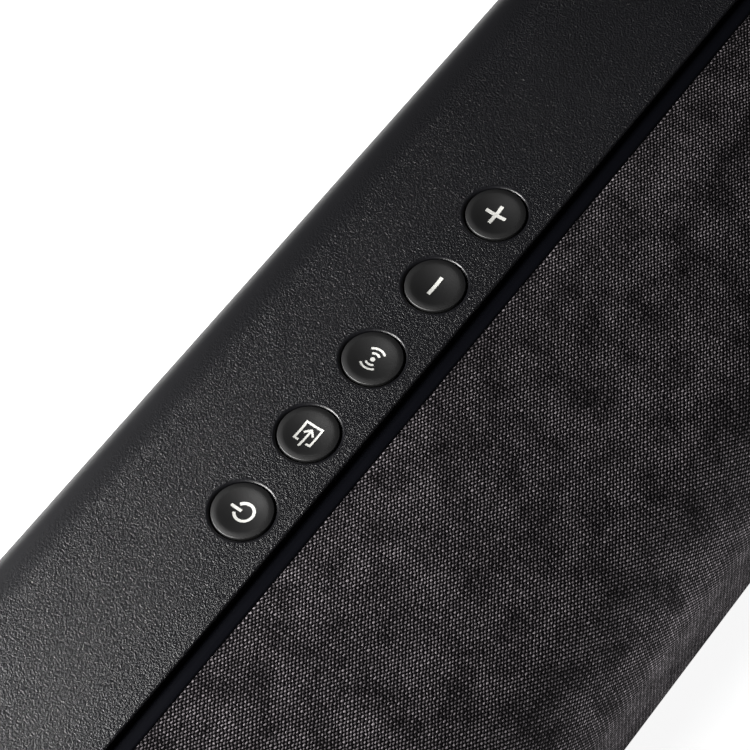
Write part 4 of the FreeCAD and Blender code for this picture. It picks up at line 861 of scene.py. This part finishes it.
class SOUNDBAR_OT_signs(bpy.types.Operator):
    """White printed signs that lie on the dished tops of the keys."""

    bl_idname = "soundbar.signs"
    bl_label = "Key signs"

    def execute(self, context):
        s = context.scene.soundbar_keys
        lines = {
            "power_button": [arc((0, -0.4 * MM), 2.15 * MM, 120, 420), [(0, 0.3 * MM), (0, 3.0 * MM)]],
            "source_button": self.source_lines(),
            "wireless_button": self.wave_lines(),
            "volume_down_button": [[(-2.6 * MM, 0), (2.6 * MM, 0)]],
            "volume_up_button": [[(-2.6 * MM, 0), (2.6 * MM, 0)], [(0, -2.6 * MM), (0, 2.6 * MM)]],
        }
        widths = (0.68 * MM, 0.52 * MM, 0.5 * MM, 0.85 * MM, 0.85 * MM)
        for (body, node), centre, width in zip(KEYS, KEY_CENTRES, widths):
            top = box(node)[1][2]
            grids = [grid for line in lines[node] for grid in self.print_line(line, width, centre, top, s)]
            piece = build(node.replace("button", "sign"), grids, body, material("printed_ink"))
        return {"FINISHED"}

    def source_lines(self):
        """Square with a gap in its left side and an arrow that enters through it."""
        wide, high, tail = 2.3 * MM, 2.05 * MM, 1.0 * MM
        frame_line = [(-wide, tail), (-wide, high), (wide, high), (wide, -high), (-wide, -high), (-wide, -tail)]
        barbs = [(-0.1 * MM, 1.2 * MM), (0.65 * MM, 0.55 * MM), (1.1 * MM, 0),
                 (0.65 * MM, -0.55 * MM), (-0.1 * MM, -1.2 * MM)]
        return [frame_line, [(-3.6 * MM, 0), (0.9 * MM, 0)], barbs]

    def wave_lines(self):
        """Dot with two pairs of arcs, a plain sign for a wireless link."""
        lines = [arc((0, 0), 0.3 * MM, 0, 360, 16)]
        for radius in (1.5 * MM, 2.7 * MM):
            lines += [arc((0, 0), radius, -42, 42, 14), arc((0, 0), radius, 138, 222, 14)]
        return lines

    def print_line(self, line, width, centre, top, s):
        """Thin raised band of ink: the stroke's two edges, laid on the dish at a small height."""
        line = refine(np.array(line, float), 0.3 * MM)
        left, right = stroke(line, width)
        across = np.linspace(0, 1, 5)[None, :, None]
        flat = left[:, None] * (1 - across) + right[:, None] * across
        height = top + dish_height(np.linalg.norm(flat, axis=2), s)
        layers = [np.dstack([flat + centre, height + lift]) for lift in (-0.02 * MM, 0.03 * MM)]
        both = np.stack(layers)
        return [*layers, both[:, 0], both[:, -1], both[:, :, 0], both[:, :, -1]]


class SOUNDBAR_OT_key_mat(bpy.types.Operator):
    """Silicone mat with a tapered dome under each key."""

    bl_idname = "soundbar.key_mat"
    bl_label = "Key mat"

    thick = 0.8 * MM
    corner = 2 * MM
    dome_radius = 4.5 * MM
    taper = math.radians(20.0)
    travel = 0.9 * MM

    def execute(self, context):
        low, high = box("keypad_membrane")
        flat = low[2] + self.thick
        line = rounded([
            (low[0], low[1], self.corner), (high[0], low[1], self.corner),
            (high[0], high[1], self.corner), (low[0], high[1], self.corner)], 8, True)
        line = np.concatenate([line, line[:1]])
        middle = np.broadcast_to((low[:2] + high[:2]) / 2, line.shape)
        rows = ((middle, low[2]), (line, low[2]), (line, flat), (middle, flat))
        plate = np.stack([np.column_stack([xy, np.full(len(xy), z)]) for xy, z in rows])
        mat = build("key_mat", [plate], HOUSING, material("silicone"))
        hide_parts("keypad_membrane")
        height = high[2] - flat
        crown = self.dome_radius - height * math.tan(self.taper)
        profile = np.array([
            (0.0, high[2]), (crown - 0.2 * MM, high[2]), (crown, high[2] - 0.2 * MM),
            (self.dome_radius, flat), (0.0, flat)])
        for (body, node), centre in zip(KEYS, KEY_CENTRES):
            dome = build(node.replace("button", "dome"), [revolve(profile, centre, 48)], HOUSING, material("silicone"))
            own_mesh(dome)
        return {"FINISHED"}


class SOUNDBAR_OT_finishes(bpy.types.Operator):
    """Finishes for every CAD piece that stays visible."""

    bl_idname = "soundbar.finishes"
    bl_label = "Finishes"

    def execute(self, context):
        slots = {row["node"]: row["material_slot"] for row in frame["record"]["subparts"]}
        for node, piece in NODES.items():
            slot = slots[node]
            finish = FINISH_OF_SLOT.get(slot, slot)
            piece.data.materials.clear()
            piece.data.materials.append(material(finish))
            self.soften(piece)
        return {"FINISHED"}

    def soften(self, piece):
        """Smooth shading over fillets, with creases where faces meet at more than 30 degrees."""
        piece.data.polygons.foreach_set("use_smooth", np.ones(len(piece.data.polygons), bool))
        weld = piece.modifiers.new("weld", "WELD")
        weld.merge_threshold = 0.001 * MM
        split = piece.modifiers.new("creases", "EDGE_SPLIT")
        split.split_angle = math.radians(30.0)
        piece.modifiers.new("normals", "WEIGHTED_NORMAL")


class SOUNDBAR_PT_sidebar(bpy.types.Panel):
    """Lists the soundbar's building steps."""

    bl_idname = "SOUNDBAR_PT_sidebar"
    bl_label = "Soundbar"
    bl_space_type = "VIEW_3D"
    bl_region_type = "UI"
    bl_category = "Soundbar"

    def draw(self, context):
        for operator in OPERATORS:
            self.layout.operator(operator.bl_idname)
        for name in SETTINGS:
            group = getattr(context.scene, name)
            for key in group.bl_rna.properties.keys():
                if key not in ("rna_type", "name"):
                    self.layout.prop(group, key)


SETTINGS = {
    "soundbar_panel": SoundbarPanelSettings,
    "soundbar_keys": SoundbarKeySettings,
    "soundbar_cloth": SoundbarClothSettings,
    "soundbar_stage": SoundbarStageSettings,
}
OPERATORS = (
    SOUNDBAR_OT_stage,
    SOUNDBAR_OT_finishes,
    SOUNDBAR_OT_top_panel,
    SOUNDBAR_OT_trim,
    SOUNDBAR_OT_cloth,
    SOUNDBAR_OT_keys,
    SOUNDBAR_OT_signs,
    SOUNDBAR_OT_key_mat,
)


def register():
    """Register the settings, operators and panel."""
    for name, group in SETTINGS.items():
        bpy.utils.register_class(group)
        setattr(bpy.types.Scene, name, PointerProperty(type=group))
    for operator in OPERATORS:
        bpy.utils.register_class(operator)
    bpy.utils.register_class(SOUNDBAR_PT_sidebar)


def unregister():
    """Undo register, in the opposite order."""
    bpy.utils.unregister_class(SOUNDBAR_PT_sidebar)
    for operator in reversed(OPERATORS):
        bpy.utils.unregister_class(operator)
    for name, group in reversed(SETTINGS.items()):
        delattr(bpy.types.Scene, name)
        bpy.utils.unregister_class(group)


def main():
    """Build everything in order."""
    register()
    for operator in OPERATORS:
        group, name = operator.bl_idname.split(".")
        getattr(getattr(bpy.ops, group), name)()


if __name__ == "__main__":
    main()
